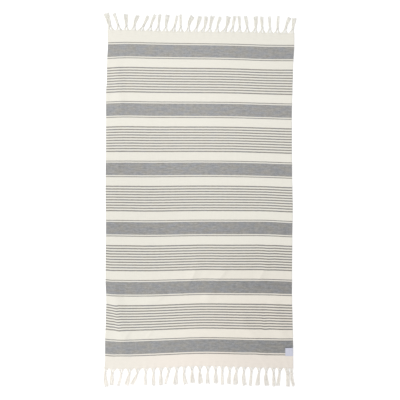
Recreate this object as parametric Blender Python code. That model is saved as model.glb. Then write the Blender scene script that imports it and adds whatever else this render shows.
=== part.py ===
"""Hammam towel, laid out face up: one woven cloth, a knotted fringe at each end and a sewn label.

Metres, +Z up. X runs across the cloth along its wefts, Y runs along its warp with the towel's top
end at +Y. The origin lies on the surface under the towel, below the middle of its whole outline.
"""
import math
from collections import namedtuple

import bmesh
import bpy
from mathutils import Vector

# Driving sizes.
CLOTH_WIDTH = 1.000
CLOTH_LENGTH = 1.787
CLOTH_THICKNESS = 0.0015
STRIP_DEPTH = 0.008
PIECE_GAP = 0.0003
CELLS_ACROSS = 26
CELLS_ALONG = 46

LABEL_WIDTH = 0.0406
LABEL_HEIGHT = 0.0433
LABEL_THICKNESS = 0.0010
LABEL_X = 0.4755
LABEL_Y = -0.8131
LABEL_CELLS = 3

# One tassel: two legs of warp ends, drawn together into a knot, then loose locks. Where they meet
# the knot, a leg and the neck past it have these parts of the knot's width.
# A leg's middle section takes its width from its root and from its end at the knot.
LEG_OF_KNOT = 0.38
LEG_HEIGHT = 0.0030
LEG_MIDDLE = 0.50
LEG_MIDDLE_OF_ROOT = 0.35
LEG_MIDDLE_OF_KNOT = 0.50

# Distances out from the cloth's edge, then the knot's two sections. A section's corners stand at
# these parts of its width, and its outer ones are rounded off by a part of its height.
KNOT_START = 0.021
KNOT_MIDDLE = 0.026
KNOT_END = 0.031
KNOT_HEIGHT = 0.0066
KNOT_ROUNDING = 0.28
NECK_OF_KNOT = 0.82
NECK_ROUNDING = 0.15
SECTION_PARTS = (-0.50, -0.18, 0.18, 0.50)

# Locks spread from the neck to the tassel's flare, soon at first. Their lengths and their sideways
# waves go round by these angles, in radians, from one tassel, lock or step to the next.
LOCK_COUNT = 3
LOCK_HEIGHT = 0.0030
LOCK_TIP_HEIGHT = 0.0022
LOCK_GAP = 0.0012
LOCK_STEPS = (0.20, 0.45, 0.72, 1.00)
LOCK_UNEVENNESS = 0.05
UNEVEN_TURN_PER_TASSEL = 2.4
UNEVEN_TURN_PER_LOCK = 2.1
LOCK_WAVE = 0.0008
WAVE_TURN_PER_TASSEL = 1.7
WAVE_TURN_PER_LOCK = 1.0
WAVE_TURN_TO_TIP = 2.6

# How the tassels of one end leave the cloth. leg_share: the part of a tassel's stretch of edge that
# each of its legs takes; gap: bare edge between two tassels; scallop: how far that is drawn back;
# knot: width of a common tassel's knot.
Roots = namedtuple("Roots", "leg_share gap scallop knot")
TOP_ROOTS = Roots(0.42, 0.0016, 0.0008, 0.0132)
BOTTOM_ROOTS = Roots(0.46, 0.0040, 0.0015, 0.0128)

# Where the selvedges run. along: place on the woven length; left, right: X of each selvedge.
Selvedges = namedtuple("Selvedges", "along left right")
SELVEDGES = (
    Selvedges(-0.8935, -0.5118, 0.4962),
    Selvedges(-0.8500, -0.5075, 0.4965),
    Selvedges(-0.7500, -0.5072, 0.4958),
    Selvedges(-0.6600, -0.5037, 0.4937),
    Selvedges(-0.5300, -0.5013, 0.4910),
    Selvedges(-0.4250, -0.5050, 0.4912),
    Selvedges(-0.1700, -0.5023, 0.4925),
    Selvedges(-0.0500, -0.5037, 0.4952),
    Selvedges(0.0900, -0.5045, 0.4925),
    Selvedges(0.2600, -0.5024, 0.4906),
    Selvedges(0.4700, -0.5021, 0.4900),
    Selvedges(0.5600, -0.5020, 0.4927),
    Selvedges(0.6500, -0.4973, 0.4958),
    Selvedges(0.7300, -0.4966, 0.4985),
    Selvedges(0.8150, -0.4920, 0.5038),
    Selvedges(0.8935, -0.4950, 0.5028),
)

# How far the wefts lie above their woven place, at seven stations given as parts of the width.
WEFT_STATIONS = (-0.50, -0.40, -0.25, 0.00, 0.20, 0.35, 0.50)
WeftRise = namedtuple("WeftRise", "along edge_l far_l near_l middle near_r far_r edge_r")
WEFT_RISES = (
    WeftRise(-0.8935, -0.0080, -0.0095, -0.0055, 0.0055, 0.0015, -0.0030, -0.0065),
    WeftRise(-0.7873, -0.0025, -0.0048, 0.0001, 0.0087, 0.0053, 0.0029, 0.0028),
    WeftRise(-0.6300, 0.0040, -0.0020, 0.0004, 0.0086, 0.0063, 0.0052, 0.0032),
    WeftRise(-0.4724, 0.0018, -0.0002, 0.0001, 0.0068, 0.0063, 0.0063, 0.0045),
    WeftRise(-0.1575, 0.0063, 0.0058, 0.0043, 0.0071, 0.0071, 0.0071, 0.0028),
    WeftRise(0.1575, 0.0077, 0.0077, 0.0072, 0.0082, 0.0069, 0.0034, 0.0008),
    WeftRise(0.4724, 0.0083, 0.0113, 0.0090, 0.0081, 0.0062, 0.0021, 0.0006),
    WeftRise(0.7873, 0.0085, 0.0122, 0.0093, 0.0063, 0.0020, -0.0031, -0.0035),
    WeftRise(0.8935, 0.0115, 0.0120, 0.0070, 0.0020, 0.0010, -0.0025, -0.0050),
)

# Soft ridges where the cloth does not lie down: from one point to another on the surface,
# reach: half their width, height: how far the cloth lifts.
Crease = namedtuple("Crease", "start_x start_y end_x end_y reach height")
CREASES = (
    Crease(-0.440, 0.700, -0.425, 0.480, 0.048, 0.0026),
    Crease(-0.455, -0.500, -0.400, -0.815, 0.052, 0.0046),
    Crease(-0.285, -0.560, -0.215, -0.490, 0.046, 0.0024),
    Crease(-0.060, -0.440, -0.010, -0.350, 0.045, 0.0032),
    Crease(0.040, -0.530, 0.125, -0.370, 0.048, 0.0034),
    Crease(0.305, -0.460, 0.350, -0.350, 0.045, 0.0032),
    Crease(0.230, -0.640, 0.330, -0.815, 0.052, 0.0044),
    Crease(0.395, -0.560, 0.440, -0.720, 0.048, 0.0036),
)

# One row a tassel, from the left. root: X where its legs spread from; lean: how far the tip lies
# to the right of the root; bow: how far its middle stands off that line; reach: from the cloth's
# edge to the tip; flare: width at the tip. Millimetres. fullness: how many times as thick as a
# common tassel it is.
Tassel = namedtuple("Tassel", "root lean bow reach flare fullness", defaults=(1.0,))
TOP_TASSELS = (
    Tassel(-479, -22, 1, 92, 28, 1.5),
    Tassel(-431, -29, 1, 90, 18),
    Tassel(-395, -1, 0, 86, 24),
    Tassel(-356, 24, -4, 81, 24),
    Tassel(-316, 39, 0, 79, 21),
    Tassel(-270, 31, -4, 87, 18),
    Tassel(-228, 12, 1, 90, 18),
    Tassel(-185, 12, -2, 90, 25),
    Tassel(-146, 24, 1, 86, 15),
    Tassel(-105, 1, 0, 91, 14),
    Tassel(-63, 23, -8, 85, 25),
    Tassel(-29, 28, 3, 84, 26),
    Tassel(12, 20, 5, 84, 22),
    Tassel(47, 20, -1, 87, 22),
    Tassel(89, 18, -4, 83, 16),
    Tassel(126, 27, 5, 85, 26),
    Tassel(167, 18, 1, 86, 19),
    Tassel(207, -1, 4, 87, 15),
    Tassel(250, -10, 4, 87, 21),
    Tassel(291, 7, 3, 88, 24),
    Tassel(332, -4, 0, 87, 17),
    Tassel(372, -3, 1, 89, 15),
    Tassel(412, 6, -1, 91, 15),
    Tassel(450, 29, -4, 83, 19),
    Tassel(491, 11, 0, 82, 20),
)
BOTTOM_TASSELS = (
    Tassel(-507, 7, -4, 98, 24, 1.1),
    Tassel(-467, -3, -4, 88, 27, 1.35),
    Tassel(-421, -17, 4, 90, 14),
    Tassel(-377, -18, 4, 88, 25, 1.2),
    Tassel(-331, -34, 5, 85, 22),
    Tassel(-288, -3, -4, 91, 16),
    Tassel(-250, -1, 1, 95, 19),
    Tassel(-209, -1, -1, 94, 25),
    Tassel(-164, -23, 1, 90, 15),
    Tassel(-122, -10, -3, 96, 27),
    Tassel(-82, 5, -7, 97, 23),
    Tassel(-44, 4, -1, 92, 28),
    Tassel(-3, 7, -2, 94, 27),
    Tassel(43, -3, -2, 95, 22),
    Tassel(83, 1, -1, 93, 29),
    Tassel(120, -2, -2, 97, 18),
    Tassel(158, -6, 1, 94, 23),
    Tassel(199, -10, -4, 96, 27),
    Tassel(236, 1, -5, 99, 26),
    Tassel(276, -8, -1, 99, 18),
    Tassel(317, -10, -1, 97, 25),
    Tassel(356, 1, -6, 97, 26),
    Tassel(390, 4, 1, 99, 18),
    Tassel(426, -10, 0, 95, 20),
    Tassel(465, 4, 1, 98, 20, 1.7),
    Tassel(489, 10, -5, 95, 17, 1.25),
)
MILLIMETRE = 0.001
SHARP_FROM = math.radians(40.0)

CREAM = (0.86, 0.83, 0.76, 1.0)
FRINGE_CREAM = (0.88, 0.85, 0.79, 1.0)
LABEL_GREY = (0.62, 0.63, 0.72, 1.0)
CLOTH_ROUGHNESS = 0.92
FRINGE_ROUGHNESS = 0.95
LABEL_ROUGHNESS = 0.55


def clear_scene():
    """Remove every object that is in the scene."""
    for thing in list(bpy.data.objects):
        bpy.data.objects.remove(thing, do_unlink=True)


def make_material(name, colour, roughness):
    """A plain dyed-fibre finish."""
    material = bpy.data.materials.new(name)
    material.use_nodes = True
    shader = material.node_tree.nodes["Principled BSDF"]
    shader.inputs["Base Color"].default_value = colour
    shader.inputs["Roughness"].default_value = roughness
    shader.inputs["Metallic"].default_value = 0.0
    material.diffuse_color = colour
    return material


def finish_object(name, bm, material):
    """Turn a finished bmesh into a smooth-shaded object of that name."""
    bmesh.ops.recalc_face_normals(bm, faces=bm.faces[:])
    mesh = bpy.data.meshes.new(name)
    bm.to_mesh(mesh)
    bm.free()
    mesh.shade_smooth()
    mesh.set_sharp_from_angle(angle=SHARP_FROM)
    mesh.materials.append(material)
    thing = bpy.data.objects.new(name, mesh)
    bpy.context.scene.collection.objects.link(thing)
    return thing


def smooth_value(stations, values, place):
    """Value at a place, on the smooth curve through the values at the stations."""
    last = len(stations) - 1
    place = min(max(place, stations[0]), stations[last])
    index = max(i for i in range(last) if stations[i] <= place)
    span = stations[index + 1] - stations[index]
    part = (place - stations[index]) / span

    def slope(i):
        low = max(i - 1, 0)
        high = min(i + 1, last)
        return (values[high] - values[low]) / (stations[high] - stations[low])

    start = values[index]
    end = values[index + 1]
    start_pull = slope(index) * span
    end_pull = slope(index + 1) * span
    square = part * part
    cube = square * part
    return (
        (2 * cube - 3 * square + 1) * start
        + (cube - 2 * square + part) * start_pull
        + (3 * square - 2 * cube) * end
        + (cube - square) * end_pull
    )


def laid_plan(across, along):
    """X and Y at which a point of the woven cloth lies on the surface."""
    places = [row.along for row in SELVEDGES]
    left = smooth_value(places, [row.left for row in SELVEDGES], along)
    right = smooth_value(places, [row.right for row in SELVEDGES], along)
    part = across / CLOTH_WIDTH
    x = left + (part + 0.5) * (right - left)
    rises = [smooth_value(WEFT_STATIONS, row[1:], part) for row in WEFT_RISES]
    y = along + smooth_value([row.along for row in WEFT_RISES], rises, along)
    return x, y


def crease_lift(x, y):
    """Height by which the creases lift the cloth off the surface."""
    lift = 0.0
    here = Vector((x, y))
    for crease in CREASES:
        start = Vector((crease.start_x, crease.start_y))
        run = Vector((crease.end_x, crease.end_y)) - start
        part = min(max((here - start).dot(run) / run.length_squared, 0.0), 1.0)
        distance = (here - start - run * part).length
        if distance < crease.reach:
            crown = 0.5 + 0.5 * math.cos(math.pi * distance / crease.reach)
            lift = max(lift, crown * crease.height)
    return lift


def raise_sheet(bm, thickness):
    """Give a flat sheet of faces its thickness, straight up."""
    grown = bmesh.ops.extrude_face_region(bm, geom=bm.faces[:])["geom"]
    upper = [item for item in grown if isinstance(item, bmesh.types.BMVert)]
    bmesh.ops.translate(bm, vec=(0.0, 0.0, thickness), verts=upper)


def make_cloth(material):
    """The woven cloth between the two fringes, with its creases."""
    bm = bmesh.new()
    bmesh.ops.create_grid(bm, x_segments=CELLS_ACROSS, y_segments=CELLS_ALONG, size=1.0)
    half_length = CLOTH_LENGTH / 2 - STRIP_DEPTH - PIECE_GAP
    for vert in bm.verts:
        x, y = laid_plan(vert.co.x * CLOTH_WIDTH / 2, vert.co.y * half_length)
        vert.co = (x, y, crease_lift(x, y))
    raise_sheet(bm, CLOTH_THICKNESS)
    return finish_object("towel_cloth", bm, material)


def make_label(material):
    """The patch sewn flat on the cloth, flush with its right selvedge."""
    bm = bmesh.new()
    bmesh.ops.create_grid(bm, x_segments=LABEL_CELLS, y_segments=LABEL_CELLS, size=1.0)
    for vert in bm.verts:
        x = LABEL_X + vert.co.x * LABEL_WIDTH / 2
        y = LABEL_Y + vert.co.y * LABEL_HEIGHT / 2
        vert.co = (x, y, crease_lift(x, y) + CLOTH_THICKNESS + PIECE_GAP)
    raise_sheet(bm, LABEL_THICKNESS)
    return finish_object("label", bm, material)


def root_spans(tassels, gap, end):
    """The stretch of the cloth's edge that each tassel gathers, as pairs of X."""
    along = end * CLOTH_LENGTH / 2
    roots = [row.root * MILLIMETRE for row in tassels]
    bounds = [(a + b) / 2 for a, b in zip(roots, roots[1:])]
    lows = [laid_plan(-CLOTH_WIDTH / 2, along)[0]] + [bound + gap / 2 for bound in bounds]
    highs = [bound - gap / 2 for bound in bounds] + [laid_plan(CLOTH_WIDTH / 2, along)[0]]
    return list(zip(lows, highs))


def across_of(x, along):
    """Place across the woven cloth of a point that lies at X on a weft."""
    places = [row.along for row in SELVEDGES]
    left = smooth_value(places, [row.left for row in SELVEDGES], along)
    right = smooth_value(places, [row.right for row in SELVEDGES], along)
    return ((x - left) / (right - left) - 0.5) * CLOTH_WIDTH


def edge_point(x, end):
    """The point of the cloth's outer edge at X, at the top (end 1) or bottom (end -1)."""
    along = end * CLOTH_LENGTH / 2
    return Vector(laid_plan(across_of(x, along), along))


def strip_columns(tassels, roots, end):
    """X of the strip's columns: four a tassel, at the two sides of each of its legs."""
    columns = []
    for low, high in root_spans(tassels, roots.gap, end):
        leg = (high - low) * roots.leg_share
        columns += [low, low + leg, high - leg, high]
    return columns


def make_strip(bm, tassels, roots, end):
    """Narrow strip at the cloth's end; returns its outward faces from left to right."""
    columns = strip_columns(tassels, roots, end)
    bmesh.ops.create_grid(bm, x_segments=len(columns) - 1, y_segments=1, size=1.0)
    verts = sorted(bm.verts, key=lambda vert: (vert.co.y, vert.co.x))
    inner_along = end * (CLOTH_LENGTH / 2 - STRIP_DEPTH)
    last = len(columns) - 1
    for index, x in enumerate(columns):
        back = Vector(laid_plan(across_of(x, end * CLOTH_LENGTH / 2), inner_along))
        front = edge_point(x, end)
        if index % 4 in (0, 3) and 0 < index < last:
            front.y -= end * roots.scallop
        verts[index].co = (back.x, back.y, 0.0)
        verts[index + last + 1].co = (front.x, front.y, 0.0)
    front_edge = set(verts[last + 1:])
    raise_sheet(bm, CLOTH_THICKNESS)
    outward = [
        face for face in bm.faces
        if len(front_edge.intersection(face.verts)) == 2
        and face.calc_center_median().z > CLOTH_THICKNESS / 4
    ]
    return sorted(outward, key=lambda face: face.calc_center_median().x)


def tassel_spine(row, end):
    """Function that gives a tassel's centre and its sideways direction at a distance out."""
    root = edge_point(row.root * MILLIMETRE, end)
    reach = row.reach * MILLIMETRE

    def spine(distance):
        part = distance / reach
        sideways = (row.lean * part + row.bow * math.sin(math.pi * part)) * MILLIMETRE
        lean = (row.lean + row.bow * math.pi * math.cos(math.pi * part)) * MILLIMETRE / reach
        centre = root + Vector((sideways, end * distance))
        return centre, Vector((1.0, -end * lean)).normalized()

    return spine


def low_and_high(verts):
    """The lower and the upper half of a section's corners, each from left to right."""
    by_height = sorted(verts, key=lambda vert: vert.co.z)
    half = len(by_height) // 2
    low = sorted(by_height[:half], key=lambda vert: vert.co.x)
    high = sorted(by_height[half:], key=lambda vert: vert.co.x)
    return low, high


def extend_strand(bm, face, centre, side, width, height):
    """Extrude a four-sided strand by one step, to a level section of that width and height."""
    grown = bmesh.ops.extrude_discrete_faces(bm, faces=[face])["faces"][0]
    low, high = low_and_high(grown.verts)
    for row, z in ((low, 0.0), (high, height)):
        for vert, sign in zip(row, (-0.5, 0.5)):
            place = centre + side * (sign * width)
            vert.co = (place.x, place.y, z)
    return grown


def grow_leg(bm, face, spine, hand, knot_width):
    """Draw one leg in from the strip to its half of the knot; hand is -1 left or 1 right."""
    start = face.calc_center_median()
    start_width = max(v.co.x for v in face.verts) - min(v.co.x for v in face.verts)
    end_width = LEG_OF_KNOT * knot_width
    end_centre, side = spine(KNOT_START)
    end_centre = end_centre + side * (hand * (NECK_OF_KNOT * knot_width - end_width) / 2)
    middle = Vector((start.x, start.y)).lerp(end_centre, LEG_MIDDLE)
    middle_width = LEG_MIDDLE_OF_ROOT * start_width + LEG_MIDDLE_OF_KNOT * end_width
    middle_height = (CLOTH_THICKNESS + LEG_HEIGHT) / 2
    face = extend_strand(bm, face, middle, side, middle_width, middle_height)
    return extend_strand(bm, face, end_centre, side, end_width, LEG_HEIGHT)


def open_ring(bm, left_face, right_face):
    """Join the ends of two legs with a face between them; returns the open ring of edges."""
    left_low, left_high = low_and_high(left_face.verts)
    right_low, right_high = low_and_high(right_face.verts)
    ring_verts = left_low + right_low + left_high + right_high
    bmesh.ops.delete(bm, geom=[left_face, right_face], context="FACES_ONLY")
    bm.faces.new((left_low[1], left_high[1], right_high[0], right_low[0]))
    return list({edge for vert in ring_verts for edge in vert.link_edges if edge.is_boundary})


def extend_ring(bm, edges, section, width, height, rounding):
    """Extrude the knot's ring to a section, given as its centre and its sideways direction."""
    grown = bmesh.ops.extrude_edge_only(bm, edges=edges)["geom"]
    verts = [item for item in grown if isinstance(item, bmesh.types.BMVert)]
    centre, side = section
    low, high = low_and_high(verts)
    for row, flat, corner in ((low, 0.0, rounding), (high, 1.0, 1.0 - rounding)):
        for vert, part, level in zip(row, SECTION_PARTS, (corner, flat, flat, corner)):
            place = centre + side * (part * width)
            vert.co = (place.x, place.y, level * height)
    return [item for item in grown if isinstance(item, bmesh.types.BMEdge)]


def grow_locks(bm, faces, row, spine, number, neck):
    """Spread the loose locks from the knot's end, neck wide, to the tassel's tip."""
    reach = row.reach * MILLIMETRE
    flare = row.flare * MILLIMETRE
    for index, face in enumerate(faces):
        place = index - (LOCK_COUNT - 1) / 2
        uneven_turn = UNEVEN_TURN_PER_TASSEL * number + UNEVEN_TURN_PER_LOCK * index
        shortening = LOCK_UNEVENNESS * (0.5 + 0.5 * math.sin(uneven_turn))
        length = (reach - KNOT_END) * (1.0 - shortening)
        wave_start = WAVE_TURN_PER_TASSEL * number + WAVE_TURN_PER_LOCK * index
        for step in LOCK_STEPS:
            centre, side = spine(KNOT_END + length * step)
            spread = neck + (flare - neck) * (1.0 - (1.0 - step) ** 2)
            wave = LOCK_WAVE * step * math.sin(wave_start + WAVE_TURN_TO_TIP * step)
            centre = centre + side * (place * spread / LOCK_COUNT + wave)
            width = spread / LOCK_COUNT - LOCK_GAP * min(1.0, 2.0 * step)
            height = LOCK_HEIGHT + (LOCK_TIP_HEIGHT - LOCK_HEIGHT) * step
            face = extend_strand(bm, face, centre, side, width, height)


def grow_tassel(bm, root_faces, row, end, number, common_knot):
    """One tassel: two legs, a knot and its loose locks; common_knot is a common knot's width."""
    spine = tassel_spine(row, end)
    knot = common_knot * row.fullness
    neck = NECK_OF_KNOT * knot
    legs = [grow_leg(bm, face, spine, hand, knot) for face, hand in zip(root_faces, (-1, 1))]
    edges = open_ring(bm, *legs)
    edges = extend_ring(bm, edges, spine(KNOT_MIDDLE), knot, KNOT_HEIGHT, KNOT_ROUNDING)
    edges = extend_ring(bm, edges, spine(KNOT_END), neck, LEG_HEIGHT, NECK_ROUNDING)
    low, high = low_and_high({vert for edge in edges for vert in edge.verts})
    ends = [
        bm.faces.new((low[i], low[i + 1], high[i + 1], high[i]))
        for i in range(LOCK_COUNT)
    ]
    grow_locks(bm, ends, row, spine, number, neck)


def make_fringe(name, tassels, roots, end, material):
    """A fringe: the strip at the cloth's end (1 top, -1 bottom) and all its tassels."""
    bm = bmesh.new()
    outward = make_strip(bm, tassels, roots, end)
    for number, row in enumerate(tassels):
        leg_faces = outward[4 * number:4 * number + 3:2]
        grow_tassel(bm, leg_faces, row, end, number, roots.knot)
    return finish_object(name, bm, material)


def build_towel():
    """Build every piece of the towel."""
    clear_scene()
    cloth_finish = make_material("cloth", CREAM, CLOTH_ROUGHNESS)
    fringe_finish = make_material("fringe", FRINGE_CREAM, FRINGE_ROUGHNESS)
    label_finish = make_material("label", LABEL_GREY, LABEL_ROUGHNESS)
    make_cloth(cloth_finish)
    make_fringe("fringe_top", TOP_TASSELS, TOP_ROOTS, 1, fringe_finish)
    make_fringe("fringe_bottom", BOTTOM_TASSELS, BOTTOM_ROOTS, -1, fringe_finish)
    make_label(label_finish)


build_towel()
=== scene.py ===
"""Looks of a flat-woven striped hammam towel, laid out face up.

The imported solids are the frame. Round them this script lays the striped cloth with its creases, the
two fringes yarn by yarn, the blank label with its sewing, and a plain bright studio. Metres, +Z up,
X along the wefts, +Y along the warp towards the towel's top end.
"""
import logging
import math
from collections.abc import Sequence
from dataclasses import dataclass, field
from enum import Enum

import bmesh
import bpy
import numpy as np
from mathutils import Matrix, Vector


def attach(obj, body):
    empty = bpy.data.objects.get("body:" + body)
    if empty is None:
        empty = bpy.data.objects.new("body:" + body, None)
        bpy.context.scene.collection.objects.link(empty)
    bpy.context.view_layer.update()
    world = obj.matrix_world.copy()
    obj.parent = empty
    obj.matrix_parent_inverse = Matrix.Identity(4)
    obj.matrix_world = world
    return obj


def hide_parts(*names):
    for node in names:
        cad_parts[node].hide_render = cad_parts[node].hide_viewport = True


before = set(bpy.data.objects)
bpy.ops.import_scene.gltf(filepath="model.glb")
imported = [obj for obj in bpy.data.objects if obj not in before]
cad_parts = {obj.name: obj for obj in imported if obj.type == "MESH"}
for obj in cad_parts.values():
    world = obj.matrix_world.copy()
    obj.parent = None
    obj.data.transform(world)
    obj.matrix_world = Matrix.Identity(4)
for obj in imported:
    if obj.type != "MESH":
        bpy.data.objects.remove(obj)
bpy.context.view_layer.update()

LOG = logging.getLogger("towel")
BODY = "root"
MILLIMETRE = 0.001
GOLDEN_ANGLE = math.pi * (3.0 - math.sqrt(5.0))
LAID_MAP = "OFBake"
STRAND_LAYERS = ("strand", "station", "corner")
# In the map of a piece made of strands: how many rows of cells, and the blank part round each cell.
MAP_ROWS = 8
MAP_MARGIN = 0.14

Array = np.ndarray
Triple = tuple[float, float, float]
Colour = Triple
Socket = bpy.types.NodeSocket


class End(Enum):
    """The two fringed ends of the towel; the value is the sign of Y there."""

    TOP = 1
    BOTTOM = -1


@dataclass(frozen=True)
class Selvedge:
    """X of both selvedges at one place on the woven length, in metres."""

    along: float
    left: float
    right: float


@dataclass(frozen=True)
class WeftRise:
    """How far one weft lies above its woven place, at each weft station, in metres."""

    along: float
    rises: tuple[float, ...]


@dataclass(frozen=True)
class Crease:
    """A soft ridge from one point on the surface to another, in metres.

    reach is half its width, height how far it lifts the cloth.
    """

    start_x: float
    start_y: float
    end_x: float
    end_y: float
    reach: float
    height: float


@dataclass(frozen=True)
class Ripple:
    """One wave over the whole cloth; x and y say how fast it turns along them, in radians a metre."""

    x: float
    y: float
    phase: float
    weight: float = 1.0


@dataclass(frozen=True)
class Roots:
    """How the tassels of one end leave the cloth.

    leg_share is the part of a tassel's stretch of edge that each of its two legs takes, gap the bare
    edge between two tassels, scallop how far that gap is drawn back and knot the width of a common
    tassel's knot, in metres.
    """

    leg_share: float
    gap: float
    scallop: float
    knot: float


@dataclass(frozen=True)
class Tassel:
    """One tassel, in millimetres.

    root is the X that its legs spread from, lean how far the tip lies to the right of the root, bow how
    far its middle stands off that line, reach the way from the cloth's edge to the tip, and flare its
    width at the tip. fullness says how many times as thick as a common tassel it is.
    """

    root: float
    lean: float
    bow: float
    reach: float
    flare: float
    fullness: float = 1.0


# The left selvedge as in the solids, the right one drawn in by up to 2 mm in the middle part.
SELVEDGES = (
    Selvedge(-0.8935, -0.5118, 0.4962),
    Selvedge(-0.8500, -0.5075, 0.4965),
    Selvedge(-0.7500, -0.5072, 0.4958),
    Selvedge(-0.6600, -0.5037, 0.4937),
    Selvedge(-0.5300, -0.5013, 0.4905),
    Selvedge(-0.4250, -0.5050, 0.4906),
    Selvedge(-0.1700, -0.5023, 0.4922),
    Selvedge(-0.0500, -0.5037, 0.4943),
    Selvedge(0.0900, -0.5045, 0.4913),
    Selvedge(0.2600, -0.5024, 0.4898),
    Selvedge(0.4700, -0.5021, 0.4894),
    Selvedge(0.5600, -0.5020, 0.4918),
    Selvedge(0.6500, -0.4973, 0.4944),
    Selvedge(0.7300, -0.4966, 0.4967),
    Selvedge(0.8150, -0.4920, 0.5018),
    Selvedge(0.8935, -0.4950, 0.5028),
)

# Seven stations across the width, as parts of it, at which every weft's rise is given.
WEFT_STATIONS = (-0.50, -0.40, -0.25, 0.00, 0.20, 0.35, 0.50)
WEFT_RISES = (
    WeftRise(-0.8935, (-0.0080, -0.0095, -0.0055, 0.0055, 0.0015, -0.0030, -0.0065)),
    WeftRise(-0.7873, (-0.0025, -0.0048, 0.0001, 0.0087, 0.0053, 0.0029, 0.0028)),
    WeftRise(-0.6300, (0.0040, -0.0020, 0.0004, 0.0086, 0.0063, 0.0052, 0.0032)),
    WeftRise(-0.4724, (0.0018, -0.0002, 0.0001, 0.0068, 0.0063, 0.0063, 0.0045)),
    WeftRise(-0.1575, (0.0063, 0.0058, 0.0043, 0.0071, 0.0071, 0.0071, 0.0028)),
    WeftRise(0.1575, (0.0077, 0.0077, 0.0072, 0.0082, 0.0069, 0.0034, 0.0008)),
    WeftRise(0.4724, (0.0083, 0.0113, 0.0090, 0.0081, 0.0062, 0.0021, 0.0006)),
    WeftRise(0.7873, (0.0085, 0.0122, 0.0093, 0.0063, 0.0020, -0.0031, -0.0035)),
    WeftRise(0.8935, (0.0115, 0.0120, 0.0070, 0.0020, 0.0010, -0.0025, -0.0050)),
)

# The eight main creases, the same in the solids.
CREASES = (
    Crease(-0.440, 0.700, -0.425, 0.480, 0.048, 0.0026),
    Crease(-0.455, -0.500, -0.400, -0.815, 0.052, 0.0046),
    Crease(-0.285, -0.560, -0.215, -0.490, 0.046, 0.0024),
    Crease(-0.060, -0.440, -0.010, -0.350, 0.045, 0.0032),
    Crease(0.040, -0.530, 0.125, -0.370, 0.048, 0.0034),
    Crease(0.305, -0.460, 0.350, -0.350, 0.045, 0.0032),
    Crease(0.230, -0.640, 0.330, -0.815, 0.052, 0.0044),
    Crease(0.395, -0.560, 0.440, -0.720, 0.048, 0.0036),
)

# Small sharp creases on top of them, nearly all in the lower half.
WRINKLES = (
    Crease(-0.044, -0.424, -0.025, -0.378, 0.010, 0.0022),
    Crease(-0.097, -0.503, -0.044, -0.424, 0.011, 0.0020),
    Crease(0.066, -0.446, 0.105, -0.418, 0.010, 0.0013),
    Crease(0.032, -0.410, 0.046, -0.384, 0.011, 0.0006),
    Crease(0.105, -0.418, 0.136, -0.382, 0.010, 0.0017),
    Crease(0.319, -0.420, 0.337, -0.382, 0.010, 0.0020),
    Crease(-0.232, -0.545, -0.198, -0.515, 0.014, 0.0013),
    Crease(-0.400, -0.735, -0.372, -0.700, 0.015, 0.0015),
    Crease(-0.282, -0.735, -0.256, -0.700, 0.014, 0.0014),
    Crease(0.205, -0.700, 0.262, -0.760, 0.016, 0.0016),
    Crease(0.300, -0.690, 0.345, -0.745, 0.015, 0.0016),
    Crease(0.395, -0.700, 0.470, -0.735, 0.015, 0.0016),
    Crease(0.392, -0.850, 0.428, -0.884, 0.013, 0.0010),
    Crease(0.448, -0.846, 0.470, -0.886, 0.013, 0.0009),
    Crease(0.330, -0.850, 0.352, -0.884, 0.013, 0.0008),
    Crease(0.436, -0.786, 0.492, -0.783, 0.010, 0.0012),
    Crease(-0.442, 0.610, -0.428, 0.560, 0.013, 0.0008),
)

# The fine unevenness of washed cotton: five crossing waves, 27 to 84 mm long.
COCKLES = (
    Ripple(71, 23, 0.4),
    Ripple(-38, 97, 1.9),
    Ripple(154, -61, 4.1),
    Ripple(88, 131, 2.7),
    Ripple(-19, 233, 5.2, 0.8),
)

TOP_TASSELS = (
    Tassel(-479, -22, 1, 92, 28, 1.5),
    Tassel(-431, -29, 1, 90, 18),
    Tassel(-395, -1, 0, 86, 24),
    Tassel(-356, 24, -4, 81, 24),
    Tassel(-316, 39, 0, 79, 21),
    Tassel(-270, 31, -4, 87, 18),
    Tassel(-228, 12, 1, 90, 18),
    Tassel(-185, 12, -2, 90, 25),
    Tassel(-146, 24, 1, 86, 15),
    Tassel(-105, 1, 0, 91, 14),
    Tassel(-63, 23, -8, 85, 25),
    Tassel(-29, 28, 3, 84, 26),
    Tassel(12, 20, 5, 84, 22),
    Tassel(47, 20, -1, 87, 22),
    Tassel(89, 18, -4, 83, 16),
    Tassel(126, 27, 5, 85, 26),
    Tassel(167, 18, 1, 86, 19),
    Tassel(207, -1, 4, 87, 15),
    Tassel(250, -10, 4, 87, 21),
    Tassel(291, 7, 3, 88, 24),
    Tassel(332, -4, 0, 87, 17),
    Tassel(372, -3, 1, 89, 15),
    Tassel(412, 6, -1, 91, 15),
    Tassel(450, 29, -4, 83, 19),
    Tassel(491, 11, 0, 82, 20),
)
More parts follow.
